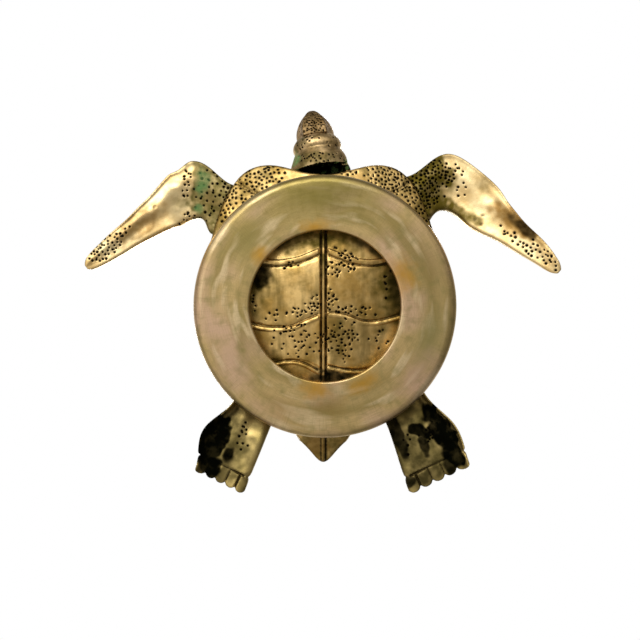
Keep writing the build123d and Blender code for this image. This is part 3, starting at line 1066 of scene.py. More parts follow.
@dataclass
class BellyPlate(Casting):
    """The dished belly plate: true to its ball between the seams, and pillowed towards them.

    Attributes:
        pillow_mm: How far its plates fall away towards the seams.
        line_mm: Depth of a seam's fine line.
        rib_x: Where the midline rib runs.
        rib_mm: Height of the rib's fine ridge, and depth of the grooves beside it.
        seams: Its seams.
        rib_end: Where the rib's fine profile starts to fade and where it is gone, in millimetres
            from the ring's axis.
        plain_mm: How far off its ball a plain face may lie.
        seam_depth: The greatest depth in its ball that a seam reaches, in millimetres.
        rib_depth: The greatest depth that the rib's grooves reach.
        pillow_rounds: How often the seams' depth is averaged to find the pillows' slopes.
        rib_reach: How far from the rib its faces are split, so that its profile comes out smooth.
        seam_reach: How far from a seam they are split.
        fine_radius: The distance from the ring's axis within which they are split.
        fine_top: The height below which they are split, so that only the underside is.
        ring_cover: The least and greatest distance from that axis that the ring hides.
    """

    pillow_mm: float = 0.4
    line_mm: float = 0.45
    rib_x: float = -0.8
    rib_mm: float = 0.75
    seams: tuple[Seam, ...] = (
        Seam(((-0.1, -26.5), (17.2, -20.9), (32.7, -22.1), (64.3, -33.8)), -1),
        Seam(((-1.5, -26.5), (-15.7, -21.3), (-31.8, -21.3), (-65.9, -32.3)), -1),
        Seam(((-0.1, 2.8), (9.7, 3.6), (22.1, 7.3), (38.3, 4.0), (64.3, -5.9)), 1, 0.5, 2.0),
        Seam(((-1.5, 3.2), (-9.5, 6.5), (-19.4, 10.1), (-36.1, 8.9), (-65.9, 0.0)), 1, 0.5, 2.0),
        Seam(((-0.1, 30.0), (17.2, 32.4), (36.4, 29.2), (58.1, 24.3)), 1, 0.35, 1.4),
        Seam(((-1.5, 33.2), (-15.1, 27.5), (-34.9, 29.2), (-59.7, 24.3)), 1, 0.35, 1.4),
        Seam(((17.8, -56.6), (36.4, -59.5), (45.7, -66.2)), 0),
        Seam(((-19.4, -56.6), (-38.0, -59.5), (-47.3, -66.2)), 0),
    )
    rib_end: tuple[float, float] = (36.5, 38.5)
    plain_mm: float = 0.12
    seam_depth: float = 1.6
    rib_depth: float = 2.0
    pillow_rounds: int = 30
    rib_reach: float = 3.2
    seam_reach: float = 3.8
    fine_radius: float = 42.0
    fine_top: float = 9.5
    ring_cover: tuple[float, float] = (40.0, 60.0)

    def hidden(self, points: np.ndarray, normals: np.ndarray) -> np.ndarray:
        """Finds the points that the shell hides from above and the ring from below.

        Args:
            points: The mesh's points in millimetres.
            normals: Their unit normals.

        Returns:
            True for each hidden point.
        """
        out = np.hypot(points[:, 0], points[:, 1])
        return super().hidden(points, normals) | ((out > self.ring_cover[0]) & (out < self.ring_cover[1]))

    def form(self, mesh: bpy.types.Mesh) -> None:
        """Lays the plain faces on their ball again, then works over the plates, the seams and the rib.

        Args:
            mesh: The even mesh of the solid.
        """
        super().form(mesh)
        self.split_lines(mesh)
        points, normals, edges = self.arrays(mesh)
        out = points - (0, 0, BELLY_CENTRE_Z)
        distance = np.linalg.norm(out, axis=1)
        out /= distance[:, None]
        depth = BELLY_RADIUS - distance
        offsets = [seam.offset(points) for seam in self.seams]
        from_rib = np.abs(points[:, 0] - self.rib_x)
        under = smooth_step(-normals[:, 2], 0.6, 0.9)
        dip = self.dips(depth, under, offsets, edges)

        plain = (np.abs(depth) < self.plain_mm) & (normals[:, 2] < -0.9)
        level = np.where(plain, 0.0, depth) + dip * under
        beside_rib = smooth_step(from_rib, 2.0, 2.7)
        for seam, offset in zip(self.seams, offsets):
            course = self.line_mm * seam.line(offset) - seam.lift * seam.strip(offset)
            reach = seam.width + 1.2 if seam.side else seam.flush_width
            share = (1 - smooth_step(np.abs(offset), reach - 0.4, reach)) * beside_rib
            level += share * (depth < self.seam_depth) * (dip + course - level)
        grooves = smooth_step(from_rib, 0.45, 1.1) * (1 - smooth_step(from_rib, 1.2, 2.1))
        ridge = 1 - smooth_step(from_rib, 0.4, 0.85)
        share = (1 - smooth_step(from_rib, 2.0, 2.6)) * (depth < self.rib_depth)
        share *= 1 - smooth_step(np.hypot(points[:, 0], points[:, 1]), *self.rib_end)
        level += share * (dip + self.rib_mm * (grooves - ridge) - level)
        self.write(mesh, out * (BELLY_RADIUS - level)[:, None] + (0, 0, BELLY_CENTRE_Z))

    def split_lines(self, mesh: bpy.types.Mesh) -> None:
        """Splits the faces along the seams and the rib, where the bore shows them.

        Args:
            mesh: The mesh.
        """
        points, _, _ = self.arrays(mesh)
        near = np.abs(points[:, 0] - self.rib_x) < self.rib_reach
        for seam in self.seams:
            near |= np.abs(seam.offset(points)) < self.seam_reach
        near &= np.hypot(points[:, 0], points[:, 1]) < self.fine_radius
        near &= points[:, 2] < self.fine_top
        self.split(mesh, near)

    def dips(self, depth: np.ndarray, under: np.ndarray, offsets: list[np.ndarray],
             edges: np.ndarray) -> np.ndarray:
        """Works out how far the plates fall away towards their seams.

        Args:
            depth: How deep each point lies in the plate's ball, in millimetres.
            under: 1 for a point that faces down and 0 for one that doesn't.
            offsets: How far each point lies from each seam.
            edges: Pairs of vertex numbers.

        Returns:
            How far each point falls away, in millimetres.
        """
        sunk = smooth_step(depth, 0.15, 0.6) * (depth < 1.2) * under
        for seam, offset in zip(self.seams, offsets):
            if not seam.side:
                sunk[np.abs(offset) < 3.0] = 0.0
        slopes = spread(edges, sunk[:, None], self.pillow_rounds)[:, 0]
        return self.pillow_mm * np.clip(slopes / 0.25, 0, 1)

    def touch_up(self, masks: dict[str, np.ndarray], points: np.ndarray, normals: np.ndarray) -> None:
        """Darkens the seams' lines and the grooves beside the rib, and leaves the strips polished.

        Args:
            masks: The masks by name.
            points: The mesh's points in millimetres.
            normals: Their unit normals. Not used.
        """
        depth = BELLY_RADIUS - np.linalg.norm(points - (0, 0, BELLY_CENTRE_Z), axis=1)
        shallow = depth < self.rib_depth
        from_rib = np.abs(points[:, 0] - self.rib_x)
        beside_rib = smooth_step(from_rib, 2.2, 2.8)
        dark = smooth_step(from_rib, 0.65, 1.0) * (1 - smooth_step(from_rib, 1.3, 1.9)) * shallow
        for seam in self.seams:
            offset = seam.offset(points)
            dark = np.maximum(dark, 0.9 * seam.line(offset) * beside_rib * shallow)
            clean = 1 - 0.75 * seam.strip(offset)
            for name in ("hollow", "tarnish_and_shade", "soot_and_shade"):
                masks[name] = masks[name] * clean
        masks["hollow"] = np.maximum(masks["hollow"], dark)


@dataclass
class NeckSleeve(Casting):
    """The neck's sleeve, drawn back onto the shell, and black inside behind the skirt's lower lip: painted
    shade.

    Attributes:
        root: Where its axis starts.
        yaw: How far the axis turns to the turtle's right, in degrees.
        pitch: How far it rises, in degrees.
        half_height: Half the height of its open end.
        drawn_mm: The length of skirt that is drawn back.
        back: The direction that it is drawn in.
        back_mm: The farthest that it may be drawn.
        lip_mm: How far its lower lip is drawn out towards the ring.
        lip_length: The length of lip that is drawn out with it.
        rim_mm: How far up the sleeve its rim of black painted shade reaches.
        lump_mm: Size of the lumps of verdigris inside it.
    """

    root: tuple[float, float, float] = (-2.3, -73.1, 27.0)
    yaw: float = 8.9
    pitch: float = 14.0
    half_height: float = 12.0
    drawn_mm: float = 7.5
    back: tuple[float, float, float] = (0, 0.85, -0.53)
    back_mm: float = 30.0
    lip_mm: float = 2.4
    lip_length: float = 5.0
    rim_mm: float = 4.0
    lump_mm: float = 2.6

    def axis(self) -> np.ndarray:
        """The direction from the sleeve's root to the head."""
        yaw, pitch = radians(self.yaw), radians(self.pitch)
        return np.array((-sin(yaw) * cos(pitch), -cos(yaw) * cos(pitch), sin(pitch)))

    def form(self, mesh: bpy.types.Mesh) -> None:
        """Draws the top and sides of the skirt's open end back until they meet the shell.

        Args:
            mesh: The even mesh of the solid.
        """
        super().form(mesh)
        points, _, _ = self.arrays(mesh)
        trees = [BVHTree.FromPolygons([vertex.co / MM for vertex in solid.vertices],
                                      [face.vertices[:] for face in solid.polygons])
                 for solid in (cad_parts[node].data for node in ("carapace", "plastron"))]
        back = Vector(self.back).normalized()
        axis = self.axis()
        up = np.array((0, 0, 1)) - axis * axis[2]
        place = points - self.root
        along, height = place @ axis, place @ (up / np.linalg.norm(up)) / self.half_height
        share = (1 - smooth_step(along, 0.0, self.drawn_mm)) * smooth_step(height, -0.7, 0.0)
        for index in np.flatnonzero(share > 0):
            hits = [tree.ray_cast(Vector(points[index]), back, self.back_mm)[3] for tree in trees]
            reach = min((hit for hit in hits if hit is not None), default=0.0)
            points[index] += np.array(back) * (reach * share[index])
        lip = (1 - smooth_step(along, 0.0, self.lip_length)) * (1 - smooth_step(height, -0.75, -0.2))
        self.write(mesh, points - np.outer(self.lip_mm * lip, axis))

    def touch_up(self, masks: dict[str, np.ndarray], points: np.ndarray, normals: np.ndarray) -> None:
        """Paints black shade on the faces that look towards the sleeve's axis and on the rim, with lumps of
        green.

        Args:
            masks: The masks by name.
            points: The mesh's points in millimetres.
            normals: Their unit normals.
        """
        axis = self.axis()
        place = points - self.root
        away = place - np.outer(place @ axis, axis)
        away /= np.maximum(np.linalg.norm(away, axis=1), 0.1)[:, None]
        inside = smooth_step(-np.einsum("ij,ij->i", away, normals), 0.0, 0.35)
        rim = smooth_step(-(normals @ axis), 0.35, 0.7) * (place @ axis < self.rim_mm)
        # Painted shade: the sleeve's inside and its rim are black, as the hollow behind the lip lies in
        # shade.
        black = np.maximum(inside, rim)
        green = 0.8 * black * smooth_step(cloud(points, self.lump_mm, self.seed), 0.12, 0.34)
        masks["soot_and_shade"] = np.maximum(masks["soot_and_shade"], black)
        masks["verdigris"] = np.maximum(masks["verdigris"], green)


@dataclass(frozen=True)
class FootRing:
    """The turned ring, spun from its profile.

    Attributes:
        node: The solid that it stands for.
        slot: The record's material slot. Not used.
        finish: Its brass.
        steps: How many steps the spin takes.
        land_rows: How many rows of faces its flat land has.
        seat_rows: How many its dished seat has.
        corner: The least angle of a sharp corner, in degrees.
    """

    node: str = "foot_ring"
    slot: str = "turned_brass"
    finish: TurnedBrass = TurnedBrass()
    steps: int = 320
    land_rows: int = 10
    seat_rows: int = 8
    corner: float = 35.0

    def profile(self) -> list[Vector]:
        """Draws the ring's section, from its inner lip outwards over the edge and back along the seat.

        Returns:
            Points in millimetres.
        """
        land_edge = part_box(self.node)[1].x / MM - RING_EDGE_RADIUS
        lip_middle = RING_BORE_RADIUS + RING_LIP_RADIUS
        points = [(lip_middle - RING_LIP_RADIUS * cos(radians(angle)),
                   RING_LIP_RADIUS - RING_LIP_RADIUS * sin(radians(angle))) for angle in range(0, 91, 15)]
        points += [(lip_middle + (land_edge - lip_middle) * row / self.land_rows, 0.0)
                   for row in range(1, self.land_rows)]
        points += [(land_edge + RING_EDGE_RADIUS * sin(radians(angle)),
                    RING_EDGE_RADIUS * (1 - cos(radians(angle)))) for angle in range(0, 181, 9)]
        seat_width = RING_SEAT_INNER_RADIUS - RING_SEAT_OUTER_RADIUS
        for row in range(self.seat_rows + 1):
            radius = RING_SEAT_OUTER_RADIUS + seat_width * row / self.seat_rows
            points.append((radius, BELLY_CENTRE_Z - sqrt(BELLY_RADIUS**2 - radius**2)))
        points.append((RING_BORE_RADIUS, RING_WALL_TOP))
        return [Vector((radius, 0, height)) for radius, height in points]

    def build(self) -> bpy.types.Object:
        """Spins the ring and gives it its finish.

        Returns:
            The finished piece.
        """
        form = bmesh.new()
        rim = [form.verts.new(point * MM) for point in self.profile()]
        edges = [form.edges.new((first, second)) for first, second in zip(rim, rim[1:] + rim[:1])]
        bmesh.ops.spin(form, geom=rim + edges, cent=(0, 0, 0), axis=(0, 0, 1), angle=WHOLE_TURN,
                       steps=self.steps, use_merge=True)
        bmesh.ops.remove_doubles(form, verts=form.verts, dist=SPUN_MERGE * MM)
        bmesh.ops.recalc_face_normals(form, faces=form.faces)
        mesh = bpy.data.meshes.new(self.node)
        form.to_mesh(mesh)
        form.free()
        mesh.shade_smooth()
        mesh.set_sharp_from_angle(angle=radians(self.corner))
        piece = bpy.data.objects.new(f"{self.node}_turned", mesh)
        bpy.context.scene.collection.objects.link(piece)
        mesh.materials.append(self.finish.material())
        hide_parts(self.node)
        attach(piece, "root")
        LOG.info("%s: %d faces", piece.name, len(mesh.polygons))
        return piece


@dataclass(frozen=True)
class Turtle:
    """The whole turtle, from the ring up.

    Attributes:
        tail_pushes: How the flanks of the tail are drawn in, alike on the belly plate and the shell.
    """

    tail_pushes: tuple[Push, ...] = (
        Push(Oval(17.5, 67, 9, 6), -1.2, -2.2), Push(Oval(-19.1, 67, 9, 6), 1.2, -2.2))

    def castings(self) -> list[Casting]:
        """Lists the cast pieces with their finishes, dots, stains and dents.

        Returns:
            The castings.
        """
        return [self.plastron(), self.carapace(), self.neck(), self.head(), self.flipper_left(),
                self.flipper_right(), self.foot_left(), self.foot_right(), self.beads()]

    def plastron(self) -> Casting:
        """Describes the belly plate, golden in the bore's middle and dark towards its sides with painted
        shade.

        Returns:
            The casting.
        """
        tarnish_and_shade, soot_and_shade = Tint.TARNISH_AND_SHADE, Tint.SOOT_AND_SHADE
        return BellyPlate(
            "plastron", "belly_brass",
            # Cast brass, polished by hand: a golden mirror, streaked from head to tail, with an olive
            # haze where the cloth doesn't reach.
            CastBrass("polished_belly_brass", polished="DDBC7C", warm="AE8C4C", tarnished="564A1E",
                      gloss=0.26, cloud_mm=11.0, haze=0.45, streak=0.6),
            voxel=0.62, seed=11,
            sprinkles=(
                Sprinkle(Oval(-19, 3.4, 17, 3.4, -8), 20), Sprinkle(Oval(-7, -1.6, 5.4, 5.4), 10),
                Sprinkle(Oval(14.3, 1.8, 15, 3.0, 6), 20), Sprinkle(Oval(3.6, -4.3, 2.6, 4.6), 7),
                Sprinkle(Oval(-14, 17, 15, 9), 42), Sprinkle(Oval(9.5, 17, 9.4, 11.6), 46),
                Sprinkle(Oval(26, 17, 7, 8), 8), Sprinkle(Oval(9.8, -26.8, 8.5, 3.0, 25), 12),
                Sprinkle(Oval(7.5, -18.6, 9, 4.4), 20), Sprinkle(Oval(-16, -21, 7, 2.7, -8), 7),
                Sprinkle(Oval(-36, -2, 1.8, 7), 5), Sprinkle(Oval(32, -9, 3, 11), 5),
                Sprinkle(Oval(-35, -63, 19, 11, -20), 82, 1.75, 0.1),
                Sprinkle(Oval(-52, -50, 8, 16), 30, 1.75, 0.1),
                Sprinkle(Oval(34, -65, 15, 9, 20), 80, 1.6, 0.45),
                Sprinkle(Oval(50, -52, 8, 16), 40, 1.6, 0.45), Sprinkle(Oval(13, -69.5, 6, 3), 8),
            ),
            # Painted shade: the tarnish and soot stains along the bore's edge (its sides, its head-side
            # edge and corners, and its tail-side edge) darken the plate where the ring's wall stands over
            # it. The others are tarnish, with a heat stain at the tail.
            stains=(
                Stain(tarnish_and_shade, Oval(-39, -14, 13, 25), 0.95), Stain(tarnish_and_shade, Oval(38, -12, 17, 28), 0.95),
                Stain(tarnish_and_shade, Oval(0, -40, 40, 12), 0.95), Stain(tarnish_and_shade, Oval(-24, 32, 18, 8, 35), 0.75),
                Stain(tarnish_and_shade, Oval(24, 31, 16, 7, -35), 0.45), Stain(soot_and_shade, Oval(3, 36, 16, 4.5), 0.9),
                Stain(soot_and_shade, Oval(-34, -16, 6.5, 9), 0.85), Stain(tarnish_and_shade, Oval(-15, -33, 15, 8), 0.85),
                Stain(soot_and_shade, Oval(-22, -34, 12, 4, -30), 0.6), Stain(soot_and_shade, Oval(24, -32, 13, 5, 35), 0.6),
                Stain(tarnish_and_shade, Oval(6, 15, 5, 16), 0.65),
                Stain(soot_and_shade, Oval(37, -10, 7, 20), 0.6), Stain(tarnish_and_shade, Oval(-1, -24, 2.6, 15), 0.8),
                Stain(soot_and_shade, Oval(-19, -38, 14, 4, -28), 0.5), Stain(soot_and_shade, Oval(19, -38, 14, 4, 28), 0.5),
                Stain(tarnish_and_shade, Oval(54, -52, 10, 18, 30), 0.8), Stain(tarnish_and_shade, Oval(-58, -46, 7, 16), 0.6),
                Stain(tarnish_and_shade, Oval(-37, -64, 24, 13, -20), 0.5),
                Stain(tarnish_and_shade, Oval(36, -64, 22, 12, 20), 0.3),
                Stain(tarnish_and_shade, Oval(-1, 72, 15, 12), 0.7), Stain(Tint.BRONZE, Oval(-4, 71, 6, 6), 0.5),
            ),
            pushes=self.tail_pushes,
            soiling=1.0, hollow_mm=0.3, hidden_side=1,
        )

    def carapace(self) -> Casting:
        """Describes the domed shell, dark in its seams. The photo doesn't show it.

        Returns:
            The casting.
        """
        return Casting(
            "carapace", "shell_brass",
            # Cast brass, darkened and then rubbed bright: broad pale clouds between near-black seams.
            CastBrass("antiqued_shell_brass", polished="D8BF84", warm="A68A4E", tarnished="57502A",
                      gloss=0.3, cloud_mm=14.0),
            voxel=0.66, seed=21, relax_rounds=12,
            sprinkles=(
                Sprinkle(Oval(-1, -66, 20, 6), 40, 1.6), Sprinkle(Oval(-46, -30, 8, 22), 30, 2.0),
                Sprinkle(Oval(44, -30, 8, 22), 30, 2.0), Sprinkle(Oval(-1, 62, 16, 8), 30, 1.8),
            ),
            stains=(
                Stain(Tint.TARNISH_AND_SHADE, Oval(-50, 0, 14, 60), 0.55),
                Stain(Tint.TARNISH_AND_SHADE, Oval(50, 0, 14, 60), 0.55),
                Stain(Tint.VERDIGRIS, Oval(-1.5, -72.5, 6, 3), 1.0),
            ),
            pushes=self.tail_pushes,
            soiling=1.5, hollow_mm=0.2, hidden_side=-1,
        )

    def neck(self) -> Casting:
        """Describes the neck's folds and flared skirt, tinged green at their sides.

        Returns:
            The casting.
        """
        return NeckSleeve(
            "neck", "head_brass",
            # Cast brass, handled little: small clouds of brown and olive that soften its shine.
            CastBrass("tarnished_neck_brass", polished="D0B486", warm="93794C", tarnished="524A28",
                      gloss=0.3, cloud_mm=7.0, haze=0.65),
            voxel=0.36, seed=31,
            sprinkles=(
                Sprinkle(Oval(-4, -76.8, 16, 4), 56, 1.25, 0.1, 0.8),
                Sprinkle(Oval(-12, -85, 5, 5), 16, 1.2, 0.1, 0.75),
                Sprinkle(Oval(4, -86, 5, 4), 14, 1.3, 0.1, 0.75), Sprinkle(Oval(-5, -88, 7, 2), 5, 1.8),
            ),
            stains=(
                Stain(Tint.VERDIGRIS, Oval(-15.5, -77, 2.6, 4.5), 0.8),
                Stain(Tint.VERDIGRIS, Oval(12, -76, 2, 3), 0.5),
                Stain(Tint.TARNISH_AND_SHADE, Oval(-5, -76, 18, 5), 0.75),
                Stain(Tint.TARNISH_AND_SHADE, Oval(-13, -87, 4, 6), 0.7),
            ),
            hollow_mm=0.2,
        )

    def head(self) -> Casting:
        """Describes the head, brown and closely dotted under the jaw.

        Returns:
            The casting.
        """
        return Casting(
            "head", "head_brass",
            # Cast brass, browned by heat: a warm dull sheen, bright only on the brow and jaw.
            CastBrass("browned_head_brass", polished="C4A67A", warm="8E734A", tarnished="584628",
                      gloss=0.3, cloud_mm=6.0, haze=0.6),
            voxel=0.3, seed=41, relax_rounds=26,
            sprinkles=(Sprinkle(Oval(-6.4, -96, 9.5, 10, -8), 105, 0.95, 0.3, 0.62),),
            stains=(Stain(Tint.TARNISH_AND_SHADE, Oval(-6.4, -97, 9, 11, -8), 0.8),),
            soiling=0.6,
        )

    @staticmethod
    def shoulder_brass(name: str, film: str) -> CastBrass:
        """Front flipper brass: a pale bright mirror, dull olive at the shoulder: tarnish and painted shade.
        """
        return CastBrass(name, polished="EFD9A6", warm="D2B278", tarnished=film, gloss=0.33,
                         cloud_mm=12.0, haze=0.25)

    def flipper_left(self) -> Casting:
        """Describes the flipper on the turtle's left, with a browned dent towards its tip.

        Returns:
            The casting.
        """
        return Casting(
            "front_flipper_left", "flipper_brass",
            self.shoulder_brass("left_flipper_brass", "64571F"), voxel=0.42, seed=51,
            sprinkles=(
                Sprinkle(Oval(54.5, -64, 11, 15, 20), 105, 1.5), Sprinkle(Oval(70, -66, 5, 12), 14),
                Sprinkle(Oval(110, -27, 13, 5, 38), 26, 1.8), Sprinkle(Oval(96, -36, 9, 2.6, 38), 10),
            ),
            # Painted shade in part: the olive tarnish stain on the shoulder, where the shoulder turns away
            # from the light.
            stains=(
                Stain(Tint.TARNISH_AND_SHADE, Oval(49, -63, 15.5, 26, 6), 1.0, 0.3),
                Stain(Tint.TARNISH_AND_SHADE, Oval(83, -63, 3.6, 7, 12), 0.3),
                Stain(Tint.BRONZE, Oval(98, -44, 19, 7.5, 42), 0.85),
                Stain(Tint.TARNISH_AND_SHADE, Oval(100, -41, 16, 4.5, 44), 0.7),
                Stain(Tint.SOOT_AND_SHADE, Oval(102, -40, 10, 2.8, 46), 0.7),
                Stain(Tint.TARNISH_AND_SHADE, Oval(72, -48, 13, 4, 28), 0.85),
                Stain(Tint.SOOT_AND_SHADE, Oval(55, -46, 7, 4, -40), 0.5),
            ),
            dents=(
                Dent(Oval(98, -42, 17, 6, 40), 0.9), Dent(Oval(78, -45, 1.5, 1.2), 0.35),
                Dent(Oval(81, -42.5, 1.5, 1.2), 0.35), Dent(Oval(81.8, -47, 1.4, 1.1), 0.3),
                Dent(Oval(84, -60, 12, 9, 20), 0.5), Dent(Oval(92, -49, 7, 5, 30), -0.3),
            ),
        )

    def flipper_right(self) -> Casting:
        """Describes the flipper on the turtle's right, with green patches at its shoulder.

        Returns:
            The casting.
        """
        return Casting(
            "front_flipper_right", "flipper_brass",
            self.shoulder_brass("right_flipper_brass", "6A6134"), voxel=0.42, seed=61,
            sprinkles=(
                Sprinkle(Oval(-58.5, -58, 11, 16), 44, 2.4), Sprinkle(Oval(-50.5, -59, 4, 9), 16, 1.6),
                Sprinkle(Oval(-72, -63, 3.2, 10), 12), Sprinkle(Oval(-72, -46, 6, 2.6, -30), 8),
                Sprinkle(Oval(-112, -29.5, 11, 5, -38), 34, 1.6), Sprinkle(Oval(-101, -38, 5, 3, -38), 5),
            ),
            # Painted shade in part: the olive tarnish stain on the shoulder, where the shoulder turns away
            # from the light.
            stains=(
                Stain(Tint.TARNISH_AND_SHADE, Oval(-56, -61, 14.5, 27), 0.9, 0.3),
                Stain(Tint.VERDIGRIS, Oval(-64, -64.6, 4.2, 7), 0.75),
                Stain(Tint.VERDIGRIS, Oval(-66, -51, 2.6, 3), 0.7),
                Stain(Tint.TARNISH_AND_SHADE, Oval(-73.5, -54, 6, 2.8), 0.6),
                Stain(Tint.BRONZE, Oval(-97, -42, 15, 7, -38), 0.7, 0.5),
                Stain(Tint.TARNISH_AND_SHADE, Oval(-99, -39, 10, 2.4, -38), 0.6),
                Stain(Tint.TARNISH_AND_SHADE, Oval(-113, -30, 13, 5, -38), 0.3),
            ),
            pushes=(Push(Oval(-75, -71.5, 8, 7), 0.5, 2.0),),
            dents=(
                Dent(Oval(-96, -42, 9, 6, -38), 0.8), Dent(Oval(-88, -51.5, 1.4, 1.4), 0.3),
                Dent(Oval(-80, -56, 7, 7), 0.5), Dent(Oval(-78, -64, 4, 3), 0.35),
            ),
        )

    @staticmethod
    def foot_brass() -> CastBrass:
        """The brass of the rear feet: a dull olive mirror with black in its low places."""
        return CastBrass("dull_foot_brass", polished="BCA66C", warm="7C6E3E", tarnished="3A341A",
                         gloss=0.3, cloud_mm=16.0, haze=0.4)

    def foot_left(self) -> Casting:
        """Describes the foot on the turtle's left, blackened in its outer half.

        Returns:
            The casting.
        """
        return Casting(
            "rear_foot_left", "foot_brass", self.foot_brass(), voxel=0.36, seed=71,
            sprinkles=(Sprinkle(Oval(44, 69, 6, 12), 6, 2.5), Sprinkle(Oval(53, 66, 3, 5), 10)),
            stains=(
                Stain(Tint.SOOT_AND_SHADE, Oval(60.5, 66, 5.5, 16, -28), 1.0, 0.25),
                Stain(Tint.SOOT_AND_SHADE, Oval(48, 63.5, 6, 3, 20), 0.9, 0.25),
                Stain(Tint.SOOT_AND_SHADE, Oval(50, 70, 2.2, 6, -20), 0.8, 0.4),
                Stain(Tint.SOOT_AND_SHADE, Oval(42, 88.5, 4, 3.5), 0.8, 0.4),
                Stain(Tint.SOOT_AND_SHADE, Oval(64, 79, 4, 6), 0.8, 0.4),
                Stain(Tint.SOOT_AND_SHADE, Oval(35.5, 62, 3.0, 20, -22), 0.8, 0.4),
                Stain(Tint.TARNISH_AND_SHADE, Oval(47, 74, 18, 28, -25), 0.85),
            ),
            pushes=(Push(Oval(60, 62, 13, 22, -35), 4.2, -1.6),),
            worn=(Oval(71.4, 73.9, 3.4, 3.4), Oval(40.2, 86.5, 3.4, 3.4)),
            soiling=1.7, hollow_mm=0.12,
        )

    def foot_right(self) -> Casting:
        """Describes the foot on the turtle's right, with one large black patch.

        Returns:
            The casting.
        """
        return Casting(
            "rear_foot_right", "foot_brass", self.foot_brass(), voxel=0.36, seed=81,
            sprinkles=(Sprinkle(Oval(-42, 67, 4, 9), 10, 2.2), Sprinkle(Oval(-53, 66, 5, 6), 6, 2.0)),
            stains=(
                Stain(Tint.SOOT_AND_SHADE, Oval(-58.5, 68, 8.0, 14.5, 20), 1.0, 0.22),
                Stain(Tint.SOOT_AND_SHADE, Oval(-59, 80, 6.5, 6, 25), 0.95, 0.3),
                Stain(Tint.SOOT_AND_SHADE, Oval(-49, 75, 3, 4, 25), 0.9, 0.4),
                Stain(Tint.TARNISH_AND_SHADE, Oval(-50, 70, 16, 28, 25), 0.7),
            ),
            pushes=(Push(Oval(-58, 64, 12, 20, 32), -4.4, -1.8),),
            worn=(Oval(-64.8, 75.5, 3.4, 3.4), Oval(-38.4, 87.0, 3.4, 3.4)),
            soiling=1.7, hollow_mm=0.12,
        )

    def beads(self) -> Casting:
        """Describes the short runs of braze between the ring and the belly.

        Returns:
            The casting.
        """
        return Casting(
            "ring_braze_beads", "braze",
            # Braze metal left as it set: smooth amber drops, yellower than the brass beside them.
            CastBrass("fused_braze", polished="D9A850", warm="A9772C", tarnished="7A5A22", gloss=0.34,
                      cloud_mm=3.0),
            voxel=0.2, seed=91,
        )

    def build(self) -> None:
        """Builds every piece in order."""
        FootRing().build()
        for casting in self.castings():
            casting.build()


@dataclass(frozen=True)
class Lamp:
    """A soft square lamp.

    Attributes:
        name: Its name.
        place: Where it stands, in metres.
        size: Its side in metres.
        power: Its power in watts.
    """

    name: str
    place: tuple[float, float, float]
    size: float
    power: float

    def build(self) -> None:
        """Hangs the lamp and turns it to the turtle."""
        light = bpy.data.lights.new(self.name, "AREA")
        light.size = self.size
        light.energy = self.power
        lamp = bpy.data.objects.new(self.name, light)
        lamp.location = self.place
        lamp.rotation_euler = Vector(self.place).to_track_quat("Z", "Y").to_euler()
        bpy.context.scene.collection.objects.link(lamp)


@dataclass(frozen=True)
class Ramp:
    """A smooth change of the room's light along one axis of the direction that is looked in.

    Attributes:
        axis: The axis.
        start: Where along it the change starts.
        end: Where it ends.
        first: The light before the start.
        last: The light after the end.
    """

    axis: str
    start: float
    end: float
    first: float
    last: float


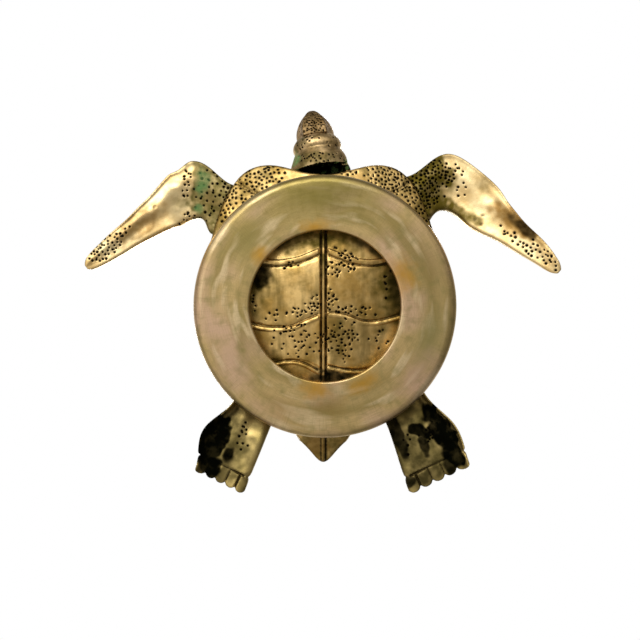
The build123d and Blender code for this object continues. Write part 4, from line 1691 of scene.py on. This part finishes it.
@dataclass(frozen=True)
class Studio:
    """The floor, the backdrop light, the lamps and the camera under the turtle.

    Attributes:
        camera_place: Where the camera stands, in metres.
        view_width: The width that it takes in at the height of the ring's land, in millimetres.
        sensor: The width of its sensor in millimetres.
        nearest: The least distance that it shows, in metres.
        lamps: The lamps.
        floor_size: Half the floor's side in metres.
        floor_drop: How far the floor lies below the ring's land, in metres.
        floor_fade: Where the floor starts to fade out and where it is gone, in metres.
        room: The parts of the room's light, each the product of its ramps: what lies below, dim
            towards the turtle's left; a pale wall ahead of its head; and what lies above.
    """

    camera_place: tuple[float, float, float] = (-2.5 * MM, 7.0 * MM, -520.0 * MM)
    view_width: float = 320.0
    sensor: float = 36.0
    nearest: float = 0.01
    lamps: tuple[Lamp, ...] = (
        Lamp("under_key", (-0.18, -0.5, -0.62), 0.5, 3.0),
        Lamp("over_key", (0.1, -0.16, 0.85), 0.3, 7.0),
        Lamp("over_fill", (-0.2, 0.12, 0.85), 0.3, 4.0),
    )
    floor_size: float = 3.0
    floor_drop: float = 0.05 * MM
    floor_fade: tuple[float, float] = (0.12, 0.42)
    room: tuple[tuple[Ramp, ...], ...] = (
        (Ramp("Z", 0.05, -0.7, 0.2, 0.52), Ramp("X", -0.45, 0.45, 1.5, 0.45)),
        (Ramp("Y", -0.16, -0.7, 0.0, 0.75), Ramp("Z", -0.1, -0.5, 0.0, 1.0)),
        (Ramp("Z", 0.1, 1.0, 0.1, 0.75),),
    )

    def build(self) -> None:
        """Sets up everything that isn't the turtle."""
        self.floor()
        self.world()
        for lamp in self.lamps:
            lamp.build()
        self.camera()
        bpy.context.scene.view_settings.view_transform = "Standard"

    def floor(self) -> None:
        """Lays a pale floor that fades out round the turtle, and isn't there when seen from below."""
        form = bmesh.new()
        bmesh.ops.create_grid(form, x_segments=2, y_segments=2, size=self.floor_size)
        mesh = bpy.data.meshes.new("floor")
        form.to_mesh(mesh)
        form.free()
        floor = bpy.data.objects.new("floor", mesh)
        floor.location.z = -self.floor_drop
        bpy.context.scene.collection.objects.link(floor)
        for ray in ("diffuse", "glossy", "transmission", "shadow"):
            setattr(floor, f"visible_{ray}", False)
        mesh.materials.append(self.floor_paint())

    def floor_paint(self) -> bpy.types.Material:
        """Mixes the floor's matt white paint, which takes a soft shadow and has no shine.

        Returns:
            The material.
        """
        pale = bpy.data.materials.new("pale_floor")
        pale.use_nodes = True
        tree = pale.node_tree
        tree.nodes.clear()
        matt = add_node(tree, "ShaderNodeBsdfDiffuse", inputs={"Color": linear("F4F4F2")})
        clear = add_node(tree, "ShaderNodeBsdfTransparent")
        below = add_node(tree, "ShaderNodeNewGeometry").outputs["Backfacing"]
        place = add_node(tree, "ShaderNodeTexCoord").outputs["Object"]
        distance = add_node(tree, "ShaderNodeVectorMath", {"operation": "LENGTH"}, {0: place})
        fade = add_node(tree, "ShaderNodeMapRange", {"interpolation_type": "SMOOTHSTEP"}, {
            "Value": distance.outputs["Value"], "From Min": self.floor_fade[0],
            "From Max": self.floor_fade[1]})
        unseen = add_node(tree, "ShaderNodeMath", {"operation": "MAXIMUM"},
                          {0: below, 1: fade.outputs[0]})
        both = add_node(tree, "ShaderNodeMixShader", inputs={
            0: unseen.outputs[0], 1: matt.outputs[0], 2: clear.outputs[0]})
        add_node(tree, "ShaderNodeOutputMaterial", inputs={"Surface": both.outputs[0]})
        return pale

    def world(self) -> None:
        """Sets white behind the turtle, and round it the pale room that its brass mirrors."""
        world = bpy.data.worlds.new("pale_room")
        world.use_nodes = True
        tree = world.node_tree
        tree.nodes.clear()
        way = add_node(tree, "ShaderNodeTexCoord").outputs["Generated"]
        axes = add_node(tree, "ShaderNodeSeparateXYZ", inputs={0: way})
        light: Any = 0.0
        for ramps in self.room:
            part: Any = 1.0
            for ramp in ramps:
                change = add_node(tree, "ShaderNodeMapRange", {"interpolation_type": "SMOOTHSTEP"}, {
                    "Value": axes.outputs[ramp.axis], "From Min": ramp.start, "From Max": ramp.end,
                    "To Min": ramp.first, "To Max": ramp.last})
                part = add_node(tree, "ShaderNodeMath", {"operation": "MULTIPLY"},
                                {0: part, 1: change.outputs[0]}).outputs[0]
            light = add_node(tree, "ShaderNodeMath", {"operation": "ADD"},
                             {0: light, 1: part}).outputs[0]
        room = add_node(tree, "ShaderNodeBackground", inputs={"Color": linear("FFF9EE"), "Strength": light})
        white = add_node(tree, "ShaderNodeBackground", inputs={"Color": linear("FFFFFF")})
        seen = add_node(tree, "ShaderNodeLightPath").outputs["Is Camera Ray"]
        both = add_node(tree, "ShaderNodeMixShader", inputs={
            0: seen, 1: room.outputs[0], 2: white.outputs[0]})
        add_node(tree, "ShaderNodeOutputWorld", inputs={"Surface": both.outputs[0]})
        bpy.context.scene.world = world

    def camera(self) -> None:
        """Sets the camera straight below, looking up, with the head at the top of its frame."""
        lens = bpy.data.cameras.new("camera")
        lens.sensor_width = self.sensor
        lens.lens = self.sensor * abs(self.camera_place[2]) / (self.view_width * MM)
        lens.clip_start = self.nearest
        camera = bpy.data.objects.new("camera", lens)
        camera.matrix_world = Matrix.Translation(self.camera_place) @ Matrix.Rotation(pi, 4, "X")
        bpy.context.scene.collection.objects.link(camera)
        bpy.context.scene.camera = camera


def main() -> None:
    """Builds the turtle and its studio."""
    logging.basicConfig(level=logging.INFO, format="%(message)s")
    Turtle().build()
    Studio().build()


if __name__ == "__main__":
    main()
